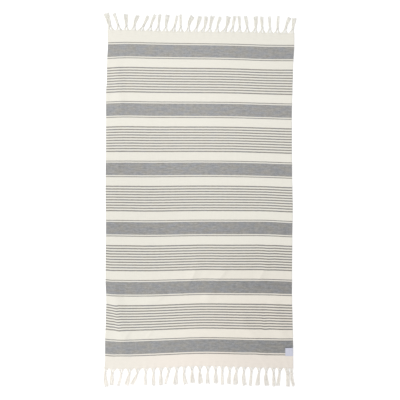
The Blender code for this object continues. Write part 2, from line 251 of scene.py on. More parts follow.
BOTTOM_TASSELS = (
    Tassel(-507, 7, -4, 98, 24, 1.1),
    Tassel(-467, -3, -4, 88, 27, 1.35),
    Tassel(-421, -17, 4, 90, 14),
    Tassel(-377, -18, 4, 88, 25, 1.2),
    Tassel(-331, -34, 5, 85, 22),
    Tassel(-288, -3, -4, 91, 16),
    Tassel(-250, -1, 1, 95, 19),
    Tassel(-209, -1, -1, 94, 25),
    Tassel(-164, -23, 1, 90, 15),
    Tassel(-122, -10, -3, 96, 27),
    Tassel(-82, 5, -7, 97, 23),
    Tassel(-44, 4, -1, 92, 28),
    Tassel(-3, 7, -2, 94, 27),
    Tassel(43, -3, -2, 95, 22),
    Tassel(83, 1, -1, 93, 29),
    Tassel(120, -2, -2, 97, 18),
    Tassel(158, -6, 1, 94, 23),
    Tassel(199, -10, -4, 96, 27),
    Tassel(236, 1, -5, 99, 26),
    Tassel(276, -8, -1, 99, 18),
    Tassel(317, -10, -1, 97, 25),
    Tassel(356, 1, -6, 97, 26),
    Tassel(390, 4, 1, 99, 18),
    Tassel(426, -10, 0, 95, 20),
    Tassel(465, 4, 1, 98, 20, 1.7),
    Tassel(489, 10, -5, 95, 17, 1.25),
)
TOP_ROOTS = Roots(leg_share=0.42, gap=0.0016, scallop=0.0008, knot=0.0132)
BOTTOM_ROOTS = Roots(leg_share=0.46, gap=0.0040, scallop=0.0015, knot=0.0128)
ENDS = ((End.TOP, TOP_TASSELS, TOP_ROOTS), (End.BOTTOM, BOTTOM_TASSELS, BOTTOM_ROOTS))


def smooth_value(stations: Sequence[float], values: Sequence[Array | float], place: Array) -> Array:
    """Read the smooth curve through values that are known at some stations.

    Args:
        stations: Rising places at which the value is known.
        values: The value at each station, a number or one number for each place.
        place: Where the curve is read; past its ends it keeps the end's value.

    Returns:
        One value for each place.
    """
    knots = np.asarray(stations, dtype=float)
    place = np.clip(place, knots[0], knots[-1])
    rows = np.stack([np.broadcast_to(value, place.shape) for value in values])
    last = len(knots) - 1
    low = np.clip(np.searchsorted(knots, place, side="right") - 1, 0, last - 1)
    column = np.arange(place.size)

    def slope(index: Array) -> Array:
        """Slope of the curve at the station that each index names."""
        before = np.maximum(index - 1, 0)
        after = np.minimum(index + 1, last)
        return (rows[after, column] - rows[before, column]) / (knots[after] - knots[before])

    span = knots[low + 1] - knots[low]
    part = (place - knots[low]) / span
    square = part * part
    cube = square * part
    return (
        (2 * cube - 3 * square + 1) * rows[low, column]
        + (cube - 2 * square + part) * slope(low) * span
        + (3 * square - 2 * cube) * rows[low + 1, column]
        + (cube - square) * slope(low + 1) * span
    )


def ease(part: Array | float) -> Array | float:
    """Rise smoothly from 0 to 1 as part does."""
    part = np.clip(part, 0.0, 1.0)
    return part * part * (3.0 - 2.0 * part)


def bell(distance: Array, reach: float) -> Array:
    """A soft hump: 1 at distance 0, falling to nothing over a few reaches."""
    return np.exp(-((distance / reach) ** 2))


def ridge_height(x: Array, y: Array, creases: Sequence[Crease]) -> Array:
    """Height of the highest of some creases.

    Args:
        x: X of the points at which it is read.
        y: Y of those points.
        creases: The creases, each with a rounded crown and rounded ends.

    Returns:
        One height for each point.
    """
    height = np.zeros_like(x)
    for crease in creases:
        run_x = crease.end_x - crease.start_x
        run_y = crease.end_y - crease.start_y
        from_x = x - crease.start_x
        from_y = y - crease.start_y
        part = np.clip((from_x * run_x + from_y * run_y) / (run_x**2 + run_y**2), 0.0, 1.0)
        distance = np.hypot(from_x - run_x * part, from_y - run_y * part)
        crown = 0.5 + 0.5 * np.cos(np.pi * np.minimum(distance / crease.reach, 1.0))
        height = np.maximum(height, crown * crease.height)
    return height


def root_bounds(tassels: Sequence[Tassel]) -> Array:
    """X of the bounds between the tassels of one end, in metres."""
    places = np.array([row.root for row in tassels]) * MILLIMETRE
    return (places[1:] + places[:-1]) / 2


@dataclass(frozen=True)
class ClothLay:
    """How the woven cloth lies: from a place in the weave to a place on the surface.

    Places in the weave are across, from the middle to the right, and along, from the middle to the top.
    The selvedges lift in a wave whose length swings, and each tassel's root draws up a low ridge.
    """

    width: float = 1.000
    length: float = 1.787
    cockle_height: float = 0.00022
    selvedge_wave: float = 0.0007
    selvedge_reach: float = 0.012
    wave_turns: float = 52.0
    wave_swing: float = 2.2
    swing_turns: float = 11.0
    side_phase: float = 3.0
    root_ridge: float = 0.0008
    root_ridge_half: float = 0.009
    root_ridge_depth: float = 0.024
    search_steps: int = 3

    def selvedge_x(self, along: Array) -> tuple[Array, Array]:
        """X of the left and of the right selvedge at each place along."""
        places = [row.along for row in SELVEDGES]
        left = smooth_value(places, [row.left for row in SELVEDGES], along)
        return left, smooth_value(places, [row.right for row in SELVEDGES], along)

    def rise(self, part: Array, along: Array) -> Array:
        """How far the wefts lie above their woven place; part is across as a part of the width."""
        rows = [smooth_value(WEFT_STATIONS, row.rises, part) for row in WEFT_RISES]
        return smooth_value([row.along for row in WEFT_RISES], rows, along)

    def plan(self, across: Array, along: Array) -> tuple[Array, Array]:
        """Where places in the weave lie on the surface.

        Args:
            across: Places across the weave.
            along: Places along it.

        Returns:
            X and Y of each place.
        """
        left, right = self.selvedge_x(along)
        part = across / self.width
        return left + (part + 0.5) * (right - left), along + self.rise(part, along)

    def across_of(self, x: Array, along: Array) -> Array:
        """Place across the weave of points that lie at X on a weft."""
        left, right = self.selvedge_x(along)
        return ((x - left) / (right - left) - 0.5) * self.width

    def woven(self, x: Array, y: Array) -> tuple[Array, Array]:
        """Places in the weave of points on the surface, found in a few steps.

        Args:
            x: X of the points.
            y: Y of the points.

        Returns:
            Their places across and along the weave.
        """
        along = y
        for _ in range(self.search_steps):
            across = self.across_of(x, along)
            along = y - self.rise(across / self.width, along)
        return across, along

    def edge(self, x: Array, end: End) -> tuple[Array, Array]:
        """X and Y of the cloth's outer edge at one end, for an X near it."""
        along = np.full_like(x, end.value * self.length / 2)
        return self.plan(self.across_of(x, along), along)

    def cockle(self, x: Array, y: Array) -> Array:
        """How far the fine unevenness of washed cotton lifts the cloth at points on the surface."""
        waves = sum(row.weight * np.sin(row.x * x + row.y * y + row.phase) for row in COCKLES)
        return self.cockle_height * (1.0 + waves / sum(row.weight for row in COCKLES))

    def selvedge_lift(self, across: Array, along: Array) -> Array:
        """How far the waves of the two selvedges lift the cloth.

        Args:
            across: Places across the weave.
            along: Places along it.

        Returns:
            One lift for each place.
        """
        turns = self.wave_turns * along + self.wave_swing * np.sin(self.swing_turns * along)
        swing = 0.5 + 0.5 * np.sin(turns + self.side_phase * np.sign(across))
        return self.selvedge_wave * swing * bell(self.width / 2 - np.abs(across), self.selvedge_reach)

    def root_lift(self, x: Array, along: Array) -> Array:
        """How far the roots of the tassels lift the cloth.

        Args:
            x: X of places in the weave.
            along: Their places along the weave.

        Returns:
            One lift for each place.
        """
        lift = np.zeros_like(x)
        for end, tassels, _ in ENDS:
            pull = self.root_ridge * bell(self.length / 2 - end.value * along, self.root_ridge_depth)
            for row in tassels:
                lift += pull * bell(x - row.root * MILLIMETRE, self.root_ridge_half)
        return lift

    def height(self, across: Array, along: Array) -> Array:
        """Height of the cloth's underside above the surface.

        Args:
            across: Places across the weave.
            along: Places along it.

        Returns:
            One height for each place.
        """
        x, y = self.plan(across, along)
        height = ridge_height(x, y, CREASES) + ridge_height(x, y, WRINKLES) + self.cockle(x, y)
        return height + self.selvedge_lift(across, along) + self.root_lift(x, along)


@dataclass(frozen=True)
class Ramp:
    """A change from the value first to the value last, while a number goes from start to stop."""

    start: float
    stop: float
    first: float = 0.0
    last: float = 1.0


@dataclass(frozen=True)
class Fade:
    """A slow change over the weave: the sum of some ramps along it, times one ramp across it."""

    across: Ramp
    along: tuple[Ramp, ...]


@dataclass(frozen=True)
class Grain:
    """Cloudy unevenness in the weave.

    across and along say how often it changes in a metre, detail how finely, and in_grey and in_cream
    how much it shades the grey and the cream wefts.
    """

    across: float
    along: float
    detail: float
    in_grey: float
    in_cream: float


class Graph:
    """The node tree of one material, with short calls that add nodes and join them."""

    def __init__(self, name: str) -> None:
        """Start an empty material of that name."""
        self.material = bpy.data.materials.new(name)
        self.material.use_nodes = True
        self.tree = self.material.node_tree
        self.tree.nodes.clear()

    def feed(self, socket: Socket, value: object) -> None:
        """Link a socket to an input, or set the input to a plain value.

        Args:
            socket: The input.
            value: A socket, a number, or a vector or colour of three numbers.
        """
        if isinstance(value, Socket):
            self.tree.links.new(value, socket)
        elif isinstance(value, tuple) and len(value) == 3 and socket.type == "RGBA":
            socket.default_value = (*value, 1.0)
        else:
            socket.default_value = value

    def add(self, kind: str, inputs: dict[str | int, object], **settings: object) -> bpy.types.Node:
        """Add a node.

        Args:
            kind: Its type.
            inputs: What goes into each of its inputs, by name or number.
            **settings: Its settings.

        Returns:
            The node.
        """
        node = self.tree.nodes.new(kind)
        for key, value in settings.items():
            setattr(node, key, value)
        for key, value in inputs.items():
            self.feed(node.inputs[key], value)
        return node

    def attribute(self, name: str) -> Socket:
        """A number that the mesh carries under that name."""
        return self.add("ShaderNodeAttribute", {}, attribute_name=name).outputs["Fac"]

    def place(self) -> Socket:
        """The place on the piece, in metres."""
        return self.add("ShaderNodeTexCoord", {}).outputs["Object"]

    def axes(self, vector: Socket) -> tuple[Socket, Socket]:
        """The first two numbers of a vector."""
        outputs = self.add("ShaderNodeSeparateXYZ", {0: vector}).outputs
        return outputs[0], outputs[1]

    def scaled(self, vector: Socket, scale: Triple, location: Triple = (0.0, 0.0, 0.0)) -> Socket:
        """Stretch coordinates and then move them."""
        inputs = {"Vector": vector, "Scale": scale, "Location": location}
        return self.add("ShaderNodeMapping", inputs).outputs[0]

    def noise(self, vector: Socket, scale: float, detail: float = 2.0) -> Socket:
        """Cloudy noise around 0.5."""
        inputs = {"Vector": vector, "Scale": scale, "Detail": detail, "Roughness": 0.5}
        return self.add("ShaderNodeTexNoise", inputs).outputs[0]

    def math(self, operation: str, *values: Socket | float) -> Socket:
        """Result of one operation on one, two or three numbers."""
        inputs = dict(enumerate(values))
        return self.add("ShaderNodeMath", inputs, operation=operation).outputs[0]

    def chain(self, operation: str, values: Sequence[Socket | float]) -> Socket:
        """Join numbers by one operation, one after the other."""
        result = values[0]
        for value in values[1:]:
            result = self.math(operation, result, value)
        return result

    def total(self, *terms: Socket | float) -> Socket:
        """Sum of some numbers."""
        return self.chain("ADD", terms)

    def times(self, *factors: Socket | float) -> Socket:
        """Product of some numbers."""
        return self.chain("MULTIPLY", factors)

    def distance(self, value: Socket, centre: Socket | float) -> Socket:
        """How far a value is from a centre, to either side."""
        return self.math("ABSOLUTE", self.math("SUBTRACT", value, centre))

    def wave(self, value: Socket, length: float) -> Socket:
        """A wave from -1 to 1 that repeats over each length."""
        return self.math("SINE", self.times(value, 2.0 * math.pi / length))

    def swing(self, value: Socket, amount: float) -> Socket:
        """A value around 0.5 turned into one around 0, times an amount."""
        return self.times(self.math("SUBTRACT", value, 0.5), amount)

    def ranged(self, value: Socket, ramp: Ramp, **settings: object) -> Socket:
        """Read a ramp at a value, in the way that the settings say."""
        inputs = {"Value": value, "From Min": ramp.start, "From Max": ramp.stop}
        inputs |= {"To Min": ramp.first, "To Max": ramp.last}
        return self.add("ShaderNodeMapRange", inputs, **settings).outputs[0]

    def span(self, value: Socket, ramp: Ramp) -> Socket:
        """Read a straight ramp, which stops at its ends."""
        return self.ranged(value, ramp, clamp=True)

    def smooth(self, value: Socket, ramp: Ramp) -> Socket:
        """Read a ramp with a soft start and a soft end."""
        return self.ranged(value, ramp, interpolation_type="SMOOTHSTEP")

    def fade(self, across: Socket, along: Socket, fade: Fade) -> Socket:
        """Read a slow change at a place in the weave."""
        down = self.total(*(self.smooth(along, ramp) for ramp in fade.along))
        return self.times(self.smooth(across, fade.across), down)

    def mix(self, factor: Socket | float, first: Socket | Colour, second: Socket | Colour) -> Socket:
        """Blend from the first colour to the second."""
        return self.add("ShaderNodeMix", {0: factor, 6: first, 7: second}, data_type="RGBA").outputs[2]

    def tinted(self, colour: Socket | Colour, tint: Socket | Colour) -> Socket:
        """Multiply a colour by another."""
        inputs = {0: 1.0, 6: colour, 7: tint}
        return self.add("ShaderNodeMix", inputs, data_type="RGBA", blend_type="MULTIPLY").outputs[2]

    def shaded(self, colour: Socket | Colour, factor: Socket) -> Socket:
        """Multiply a colour by a number."""
        grey = self.add("ShaderNodeCombineColor", {0: factor, 1: factor, 2: factor}).outputs[0]
        return self.tinted(colour, grey)

    def bump(self, height: Socket, distance: float) -> Socket:
        """Normal of a surface with that relief."""
        inputs = {"Height": height, "Distance": distance, "Strength": 1.0}
        return self.add("ShaderNodeBump", inputs).outputs[0]

    def close(self, **inputs: object) -> bpy.types.Material:
        """Add the shader and the output.

        Args:
            **inputs: The shader's inputs, named with _ for a blank.

        Returns:
            The finished material.
        """
        named = {key.replace("_", " "): value for key, value in inputs.items()}
        shader = self.add("ShaderNodeBsdfPrincipled", named)
        self.add("ShaderNodeOutputMaterial", {"Surface": shader.outputs[0]})
        return self.material


@dataclass(frozen=True)
class Pucker:
    """A place where the wefts of the stripes dip a little beside the lay, in metres in the weave.

    It runs from one point down to another; reach is its width to either side, and depth how far the
    wefts dip, or rise where it is negative.
    """

    upper_across: float
    upper_along: float
    lower_across: float
    lower_along: float
    reach: float
    depth: float

    def dip(self, graph: Graph, across: Socket, along: Socket) -> Socket:
        """How far the wefts dip here.

        Args:
            graph: Where the nodes are added.
            across: Place across the weave.
            along: Place along it.

        Returns:
            The dip: depth on the pucker's line, and nothing past its reach.
        """
        slant = (self.lower_across - self.upper_across) / (self.lower_along - self.upper_along)
        line = graph.total(graph.times(along, slant), self.upper_across - slant * self.upper_along)
        near = graph.smooth(graph.distance(across, line), Ramp(self.reach, 0.0, 0.0, self.depth))
        below_top = graph.smooth(along, Ramp(self.upper_along + self.reach, self.upper_along - self.reach))
        above_end = graph.smooth(along, Ramp(self.lower_along - self.reach, self.lower_along + self.reach))
        return graph.times(below_top, above_end, near)


@dataclass(frozen=True)
class StripePlan:
    """The woven stripes, mirrored about the middle of each repeat, in metres along the warp.

    A repeat has one wide band, a guard line on either side of it, and a group of thin lines between it
    and the next band. Beyond header_from the two headers are plain.
    """

    repeat: float = 0.3149
    band_half: float = 0.0333
    guard_place: float = 0.0413
    guard_half: float = 0.00245
    line_pitch: float = 0.01437
    line_half: float = 0.0035
    lines_each_side: int = 5
    header_from: float = 0.787
    edge_blur: float = 0.0005
    puckers: tuple[Pucker, ...] = (
        Pucker(-0.456, -0.545, -0.425, -0.715, 0.026, 0.0026),
        Pucker(0.345, -0.605, 0.358, -0.720, 0.024, 0.0018),
        Pucker(-0.262, -0.640, -0.254, -0.715, 0.014, 0.0008),
        Pucker(0.500, 0.660, 0.500, -0.700, 0.160, 0.0024),
        Pucker(0.368, -0.220, 0.372, -0.400, 0.045, 0.0016),
        Pucker(0.160, -0.560, 0.200, -1.100, 0.300, -0.0015),
        Pucker(0.030, -0.250, 0.030, -0.450, 0.100, -0.0009),
        Pucker(-0.070, 0.800, -0.070, 0.560, 0.200, 0.0011),
        Pucker(-0.300, 0.100, -0.300, -0.220, 0.250, 0.0010),
        Pucker(-0.500, -0.250, -0.500, -1.000, 0.030, -0.0020),
        Pucker(-0.400, -0.780, -0.400, -0.900, 0.060, -0.0016),
        Pucker(0.300, -0.780, 0.300, -0.900, 0.070, -0.0020),
    )

    def inside(self, graph: Graph, distance: Socket, half: float) -> Socket:
        """1 where a distance is under half, 0 past it, with a narrow blur between."""
        return graph.span(distance, Ramp(half + self.edge_blur, half - self.edge_blur))

    def dips(self, graph: Graph, across: Socket, along: Socket) -> Socket:
        """How far the wefts dip at all the puckers."""
        return graph.total(*(pucker.dip(graph, across, along) for pucker in self.puckers))

    def masks(self, graph: Graph, along: Socket) -> tuple[Socket, Socket]:
        """Where the grey wefts lie.

        Args:
            graph: Where the nodes are added.
            along: Place along the weave.

        Returns:
            1 on the wefts of the bands, and 1 on those of all the narrow lines; 0 on the others.
        """
        turns = graph.math("FRACT", graph.math("DIVIDE", along, self.repeat))
        off_band = graph.times(graph.distance(turns, 0.5), self.repeat)
        band = self.inside(graph, off_band, self.band_half)
        guard = self.inside(graph, graph.distance(off_band, self.guard_place), self.guard_half)
        steps = graph.math("DIVIDE", graph.math("SUBTRACT", self.repeat / 2, off_band), self.line_pitch)
        off_line = graph.times(graph.distance(graph.math("FRACT", steps), 0.5), self.line_pitch)
        in_group = graph.math("LESS_THAN", steps, float(self.lines_each_side))
        off_header = graph.math("LESS_THAN", graph.math("ABSOLUTE", along), self.header_from)
        line = graph.times(self.inside(graph, off_line, self.line_half), in_group, off_header)
        return band, graph.math("MAXIMUM", guard, line)


@dataclass(frozen=True)
class WovenFinish:
    """Plain-woven cotton: cream warp and wefts, and heathered grey wefts in the stripes.

    Both carry painted light and shade that changes slowly over the cloth, standing in for the fall of
    the light: painted light to the right and painted shade in the lower right corner on both, painted
    shade round the middle on the cream alone, and painted light and shade at the left, painted shade
    towards the bottom and towards the right on the grey alone. lower and header say where the cream has
    its second and its third colour; the third is partly painted light.
    """

    name: str = "woven_cotton"
    cream: Colour = (0.687, 0.667, 0.601)
    cream_low: Colour = (0.708, 0.668, 0.596)
    # The header's cream: pinker than the rest and a little paler; the paleness is painted light.
    header_cream_and_painted_light: Colour = (0.735, 0.676, 0.613)
    grey_cool: Colour = (0.282, 0.286, 0.294)
    grey_warm: Colour = (0.306, 0.297, 0.278)
    line_tint: Colour = (0.93, 0.90, 0.86)
    # Painted light and shade on both tones: 2 % darker at the left, 2 % paler from the middle to the right.
    painted_light_right: Ramp = Ramp(-0.45, 0.05, 0.98, 1.02)
    # Painted shade on the grey: up to 11 % darker towards the bottom and 6 % towards the right.
    painted_shade_down: Ramp = Ramp(0.55, -0.25, 0.0, -0.11)
    painted_shade_right: Ramp = Ramp(-0.10, 0.50, 0.0, -0.062)
    # Painted shade on both tones: up to 8.5 % darker towards the lower right corner.
    corner: Fade = Fade(Ramp(-0.25, 0.45), (Ramp(-0.05, -0.45, 0.0, -0.085),))
    # How much of that painted shade the cream takes: 0.6 of it, and 1.15 of it in the bottom header.
    painted_corner_shade_in_cream: Ramp = Ramp(-0.74, -0.82, 0.6, 1.15)
    # Painted shade on the cream: up to 6 % darker round the middle of its length, most at the left.
    painted_middle_shade: Fade = Fade(
        Ramp(-0.50, 0.50, 1.0, 0.30),
        (Ramp(0.55, 0.05, 0.0, -0.060), Ramp(-0.20, -0.85, 0.0, 0.060)),
    )
    # Painted shade and light on the grey at the left: 4 % darker from the upper part to the middle, 6 %
    # paler near the bottom.
    painted_left_shade: Fade = Fade(
        Ramp(-0.08, -0.42),
        (Ramp(0.70, 0.20, 0.0, -0.038), Ramp(-0.22, -0.44, 0.0, 0.036), Ramp(-0.52, -0.76, 0.0, 0.058)),
    )
    lower: Fade = Fade(Ramp(-0.45, 0.25), (Ramp(-0.15, -0.60),))
    # Where the header's cream, partly painted light, takes over: in the bottom header, fully at the right
    # and 0.4 of it at the left.
    header: Fade = Fade(Ramp(-0.50, -0.05, 0.4, 1.0), (Ramp(-0.76, -0.86),))
    streak: Grain = Grain(18.0, 300.0, 3.0, in_grey=0.55, in_cream=0.10)
    fleck: Grain = Grain(160.0, 860.0, 2.0, in_grey=0.50, in_cream=0.06)
    cloud: Grain = Grain(60.0, 110.0, 3.0, in_grey=0.58, in_cream=0.04)
    warp_streak: Grain = Grain(420.0, 7.0, 2.0, in_grey=0.20, in_cream=0.06)
    checker_in_grey: float = 0.14
    # Painted shade: in the cream the weave's low cells, between the yarns, are darker.
    painted_weave_shade_in_cream: float = 0.035
    hue_scale: Triple = (20.0, 45.0, 1.0)
    hue: Ramp = Ramp(0.38, 0.62)
    wander: float = 0.0016
    wander_scale: float = 60.0
    wander_stretch: Triple = (1.0, 0.15, 1.0)
    warp_pitch: float = 0.00105
    weft_pitch: float = 0.00115
    relief: float = 0.00022
    checker_relief: float = 0.5
    streak_relief: float = 1.2
    selvedge_width: float = 0.004
    selvedge_tone: float = 0.93
    roughness: Ramp = Ramp(0.2, 0.8, 0.96, 0.86)
    stripes: StripePlan = StripePlan()

    def material(self, lay: ClothLay) -> bpy.types.Material:
        """Build the finish on the cloth's laid map, which gives places in the weave.

        Args:
            lay: How the cloth lies.

        Returns:
            The material.
        """
        graph = Graph(self.name)
        laid = graph.add("ShaderNodeUVMap", {}, uv_map=LAID_MAP).outputs[0]
        weave = graph.scaled(laid, (lay.width, lay.length, 1.0), (-lay.width / 2, -lay.length / 2, 0.0))
        across, along = graph.axes(weave)
        wander = graph.noise(graph.scaled(weave, self.wander_stretch), self.wander_scale)
        dips = self.stripes.dips(graph, across, along)
        band, line = self.stripes.masks(graph, graph.total(along, graph.swing(wander, self.wander), dips))

        checker = self.checker(graph, across, along)
        grains = (self.streak, self.fleck, self.cloud, self.warp_streak)
        noises = [
            graph.noise(graph.scaled(weave, (grain.across, grain.along, 1.0)), 1.0, grain.detail)
            for grain in grains
        ]
        streak = noises[0]
        # Painted light and shade across the cloth, the base of both tone factors below.
        paler = graph.smooth(across, self.painted_light_right)
        corner = graph.fade(across, along, self.corner)
        # The grey's tone: its heather, weave and grain, with painted light and shade over the cloth.
        heather_and_painted_light = graph.total(
            paler,
            corner,
            graph.fade(across, along, self.painted_left_shade),
            *(graph.swing(noise, grain.in_grey) for noise, grain in zip(noises, grains)),
            graph.times(checker, self.checker_in_grey),
            graph.smooth(along, self.painted_shade_down),
            graph.smooth(across, self.painted_shade_right),
        )
        # The cream's tone: its grain, with painted light and shade over the cloth and painted shade between
        # its yarns.
        cream_grain_and_painted_light = graph.total(
            paler,
            graph.times(corner, graph.smooth(along, self.painted_corner_shade_in_cream)),
            graph.fade(across, along, self.painted_middle_shade),
            *(graph.swing(noise, grain.in_cream) for noise, grain in zip(noises, grains)),
            graph.times(checker, self.painted_weave_shade_in_cream),
        )

        hue = graph.span(graph.noise(graph.scaled(weave, self.hue_scale), 1.0), self.hue)
        grey = graph.shaded(graph.mix(hue, self.grey_cool, self.grey_warm), heather_and_painted_light)
        cream = graph.mix(graph.fade(across, along, self.lower), self.cream, self.cream_low)
        cream = graph.mix(graph.fade(across, along, self.header), cream, self.header_cream_and_painted_light)
        colour = graph.mix(band, graph.shaded(cream, cream_grain_and_painted_light), grey)
        colour = graph.mix(line, colour, graph.tinted(grey, self.line_tint))
        edge = lay.width / 2
        dense = Ramp(edge - self.selvedge_width, edge, 1.0, self.selvedge_tone)
        relief = graph.times(checker, self.checker_relief)
        relief = graph.total(relief, graph.swing(streak, self.streak_relief))
        return graph.close(
            Base_Color=graph.shaded(colour, graph.span(graph.math("ABSOLUTE", across), dense)),
            Roughness=graph.span(streak, self.roughness),
            Normal=graph.bump(relief, self.relief),
            Specular_IOR_Level=0.25,
            Sheen_Weight=0.10,
            Sheen_Roughness=0.6,
        )

    def checker(self, graph: Graph, across: Socket, along: Socket) -> Socket:
        """Plain weave from -1 where a weft lies on top to 1 where a warp end does."""
        warp = graph.wave(across, 2.0 * self.warp_pitch)
        return graph.times(warp, graph.wave(along, 2.0 * self.weft_pitch))


@dataclass(frozen=True)
class YarnFinish:
    """Soft plied cotton yarn; every strand has its own shade, and its plies show as fine slants.

    A ramp across X paints light and shade over the whole fringe, paler or deeper from left to right;
    tips blends in the tip's colour, and loose makes the yarn a little deeper before the knot and paler
    past it, painted light against the shade between the loose yarns; both go by the part of a strand's
    length. The plies' fine slants are painted shade in their grooves, with a matching relief.
    """

    name: str
    # Painted light and shade over the whole fringe, from left to right on X.
    painted_light_across: Ramp
    tint: Colour = (1.0, 1.0, 1.0)
    light: Colour = (0.872, 0.842, 0.787)
    deep: Colour = (0.795, 0.755, 0.685)
    tip: Colour = (0.820, 0.797, 0.765)
    tips: Ramp = Ramp(0.80, 1.0, 0.0, 0.6)
    # Painted light: by the part of a strand's length, 2 % deeper near the root and 3.5 % paler past the
    # knot, against the shade between the loose yarns.
    loose: Ramp = Ramp(0.15, 0.65, -0.02, 0.035)
    fibre_scale: float = 900.0
    cloud_scale: float = 70.0
    # Painted shade in the grooves between the plies, with a matching relief.
    painted_ply_shade: float = 0.05
    fibre_shade: float = 0.16
    cloud_shade: float = 0.08
    ply_relief: float = 0.5
    fibre_relief: float = 0.6
    relief: float = 0.00012
    roughness: Ramp = Ramp(0.2, 0.8, 0.95, 0.87)

    def material(self) -> bpy.types.Material:
        """Build the finish on the strands' own attributes.

        Returns:
            The material.
        """
        graph = Graph(self.name)
        run = graph.attribute("run")
        plies = graph.wave(graph.attribute("twist"), 1.0)
        place = graph.place()
        fibre = graph.noise(place, self.fibre_scale, detail=3.0)
        colour = graph.mix(graph.attribute("shade"), self.deep, self.light)
        colour = graph.mix(graph.span(run, self.tips), colour, self.tip)
        factor = graph.total(
            graph.smooth(graph.axes(place)[0], self.painted_light_across),
            graph.smooth(run, self.loose),
            graph.times(plies, self.painted_ply_shade),
            graph.swing(fibre, self.fibre_shade),
            graph.swing(graph.noise(place, self.cloud_scale), self.cloud_shade),
        )
        relief = graph.total(graph.times(plies, self.ply_relief), graph.swing(fibre, self.fibre_relief))
        return graph.close(
            Base_Color=graph.shaded(graph.tinted(colour, self.tint), factor),
            Roughness=graph.span(fibre, self.roughness),
            Normal=graph.bump(relief, self.relief),
            Specular_IOR_Level=0.2,
            Sheen_Weight=0.15,
            Sheen_Roughness=0.6,
        )


@dataclass(frozen=True)
class TapeFinish:
    """Blank satin-woven tape, pale lavender grey, with fine ribs across it."""

    name: str = "label_satin"
    pale: Colour = (0.519, 0.527, 0.614)
    deep: Colour = (0.469, 0.475, 0.559)
    hue: Ramp = Ramp(0.3, 0.7)
    cloud_scale: float = 90.0
    rib_pitch: float = 0.00055
    # Painted shade in the grooves between the ribs, with a matching relief.
    painted_rib_shade: float = 0.03
    rib_relief: float = 0.5
    float_scale: Triple = (260.0, 1800.0, 1.0)
    # Painted light and shade on the top fringe: deeper at the left.
    float_shade: float = 0.14
    float_relief: float = 0.8
    relief: float = 0.00008
    # Painted light and shade on the bottom fringe: paler at the left, deeper to the right.
    roughness: Ramp = Ramp(0.2, 0.8, 0.42, 0.56)

    def material(self) -> bpy.types.Material:
        """Build the finish on Object coordinates.

        Returns:
            The material.
        """
        graph = Graph(self.name)
        place = graph.place()
        ribs = graph.wave(graph.axes(place)[1], self.rib_pitch)
        floats = graph.noise(graph.scaled(place, self.float_scale), 1.0)
        hue = graph.span(graph.noise(place, self.cloud_scale), self.hue)
        painted_rib_tone = graph.times(ribs, self.painted_rib_shade)
        factor = graph.total(1.0, painted_rib_tone, graph.swing(floats, self.float_shade))
        relief = graph.total(graph.times(ribs, self.rib_relief), graph.swing(floats, self.float_relief))
        return graph.close(
            Base_Color=graph.shaded(graph.mix(hue, self.deep, self.pale), factor),
            Roughness=graph.span(floats, self.roughness),
            Normal=graph.bump(relief, self.relief),
            Specular_IOR_Level=0.4,
            Sheen_Weight=0.05,
        )


@dataclass(frozen=True)
class ThreadFinish:
    """Thread of one colour, for the sewing and for the painted shadow above the patch."""

    name: str
    colour: Colour
    fibre_scale: float = 2400.0
    # Painted shade in the grooves between the plies, with a matching relief.
    painted_ply_shade: float = 0.06
    fibre_shade: float = 0.2
    relief: float = 0.00005
    roughness: Ramp = Ramp(0.2, 0.8, 0.6, 0.7)

    def material(self) -> bpy.types.Material:
        """Build the finish on Object coordinates and the strands' twist.

        Returns:
            The material.
        """
        graph = Graph(self.name)
        plies = graph.wave(graph.attribute("twist"), 1.0)
        fibre = graph.noise(graph.place(), self.fibre_scale)
        painted_ply_tone = graph.times(plies, self.painted_ply_shade)
        factor = graph.total(1.0, painted_ply_tone, graph.swing(fibre, self.fibre_shade))
        return graph.close(
            Base_Color=graph.shaded(self.colour, factor),
            Roughness=graph.span(fibre, self.roughness),
            Normal=graph.bump(plies, self.relief),
            Specular_IOR_Level=0.35,
        )


@dataclass(frozen=True)
class FloorFinish:
    """Plain white board with a faint tooth."""

    name: str = "studio_board"
    colour: Colour = (0.97, 0.97, 0.97)
    tooth_scale: float = 400.0
    tooth_shade: float = 0.02
    roughness: Ramp = Ramp(0.3, 0.7, 0.92, 0.98)

    def material(self) -> bpy.types.Material:
        """Build the finish on Object coordinates.

        Returns:
            The material.
        """
        graph = Graph(self.name)
        tooth = graph.noise(graph.place(), self.tooth_scale, detail=3.0)
        return graph.close(
            Base_Color=graph.shaded(self.colour, graph.total(1.0, graph.swing(tooth, self.tooth_shade))),
            Roughness=graph.span(tooth, self.roughness),
            Specular_IOR_Level=0.1,
        )


def finish_piece(bm: bmesh.types.BMesh, name: str, finish: bpy.types.Material) -> bpy.types.Object:
    """Turn a finished bmesh into a smooth-shaded object at the origin.

    Args:
        bm: The shape, in place; it is freed.
        name: Name of the object and of its mesh.
        finish: Its material.

    Returns:
        The object, linked to the scene.
    """
    mesh = bpy.data.meshes.new(name)
    bm.to_mesh(mesh)
    bm.free()
    mesh.shade_smooth()
    mesh.materials.append(finish)
    piece = bpy.data.objects.new(name, mesh)
    bpy.context.scene.collection.objects.link(piece)
    return piece


def join_frame(piece: bpy.types.Object, slot: str, *nodes: str) -> bpy.types.Object:
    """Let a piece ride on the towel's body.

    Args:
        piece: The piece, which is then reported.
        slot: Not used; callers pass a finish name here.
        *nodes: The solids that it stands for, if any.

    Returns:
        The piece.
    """
    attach(piece, BODY)
    if nodes:
        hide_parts(*nodes)
    LOG.info("%s: %d faces", piece.name, len(piece.data.polygons))
    return piece


def write_map(mesh: bpy.types.Mesh, places: Array) -> None:
    """Lay the mesh's map; places has a row of two numbers from 0 to 1 for each face corner."""
    layer = mesh.uv_layers.new(name=LAID_MAP)
    layer.uv.foreach_set("vector", places.astype(np.float32).ravel())


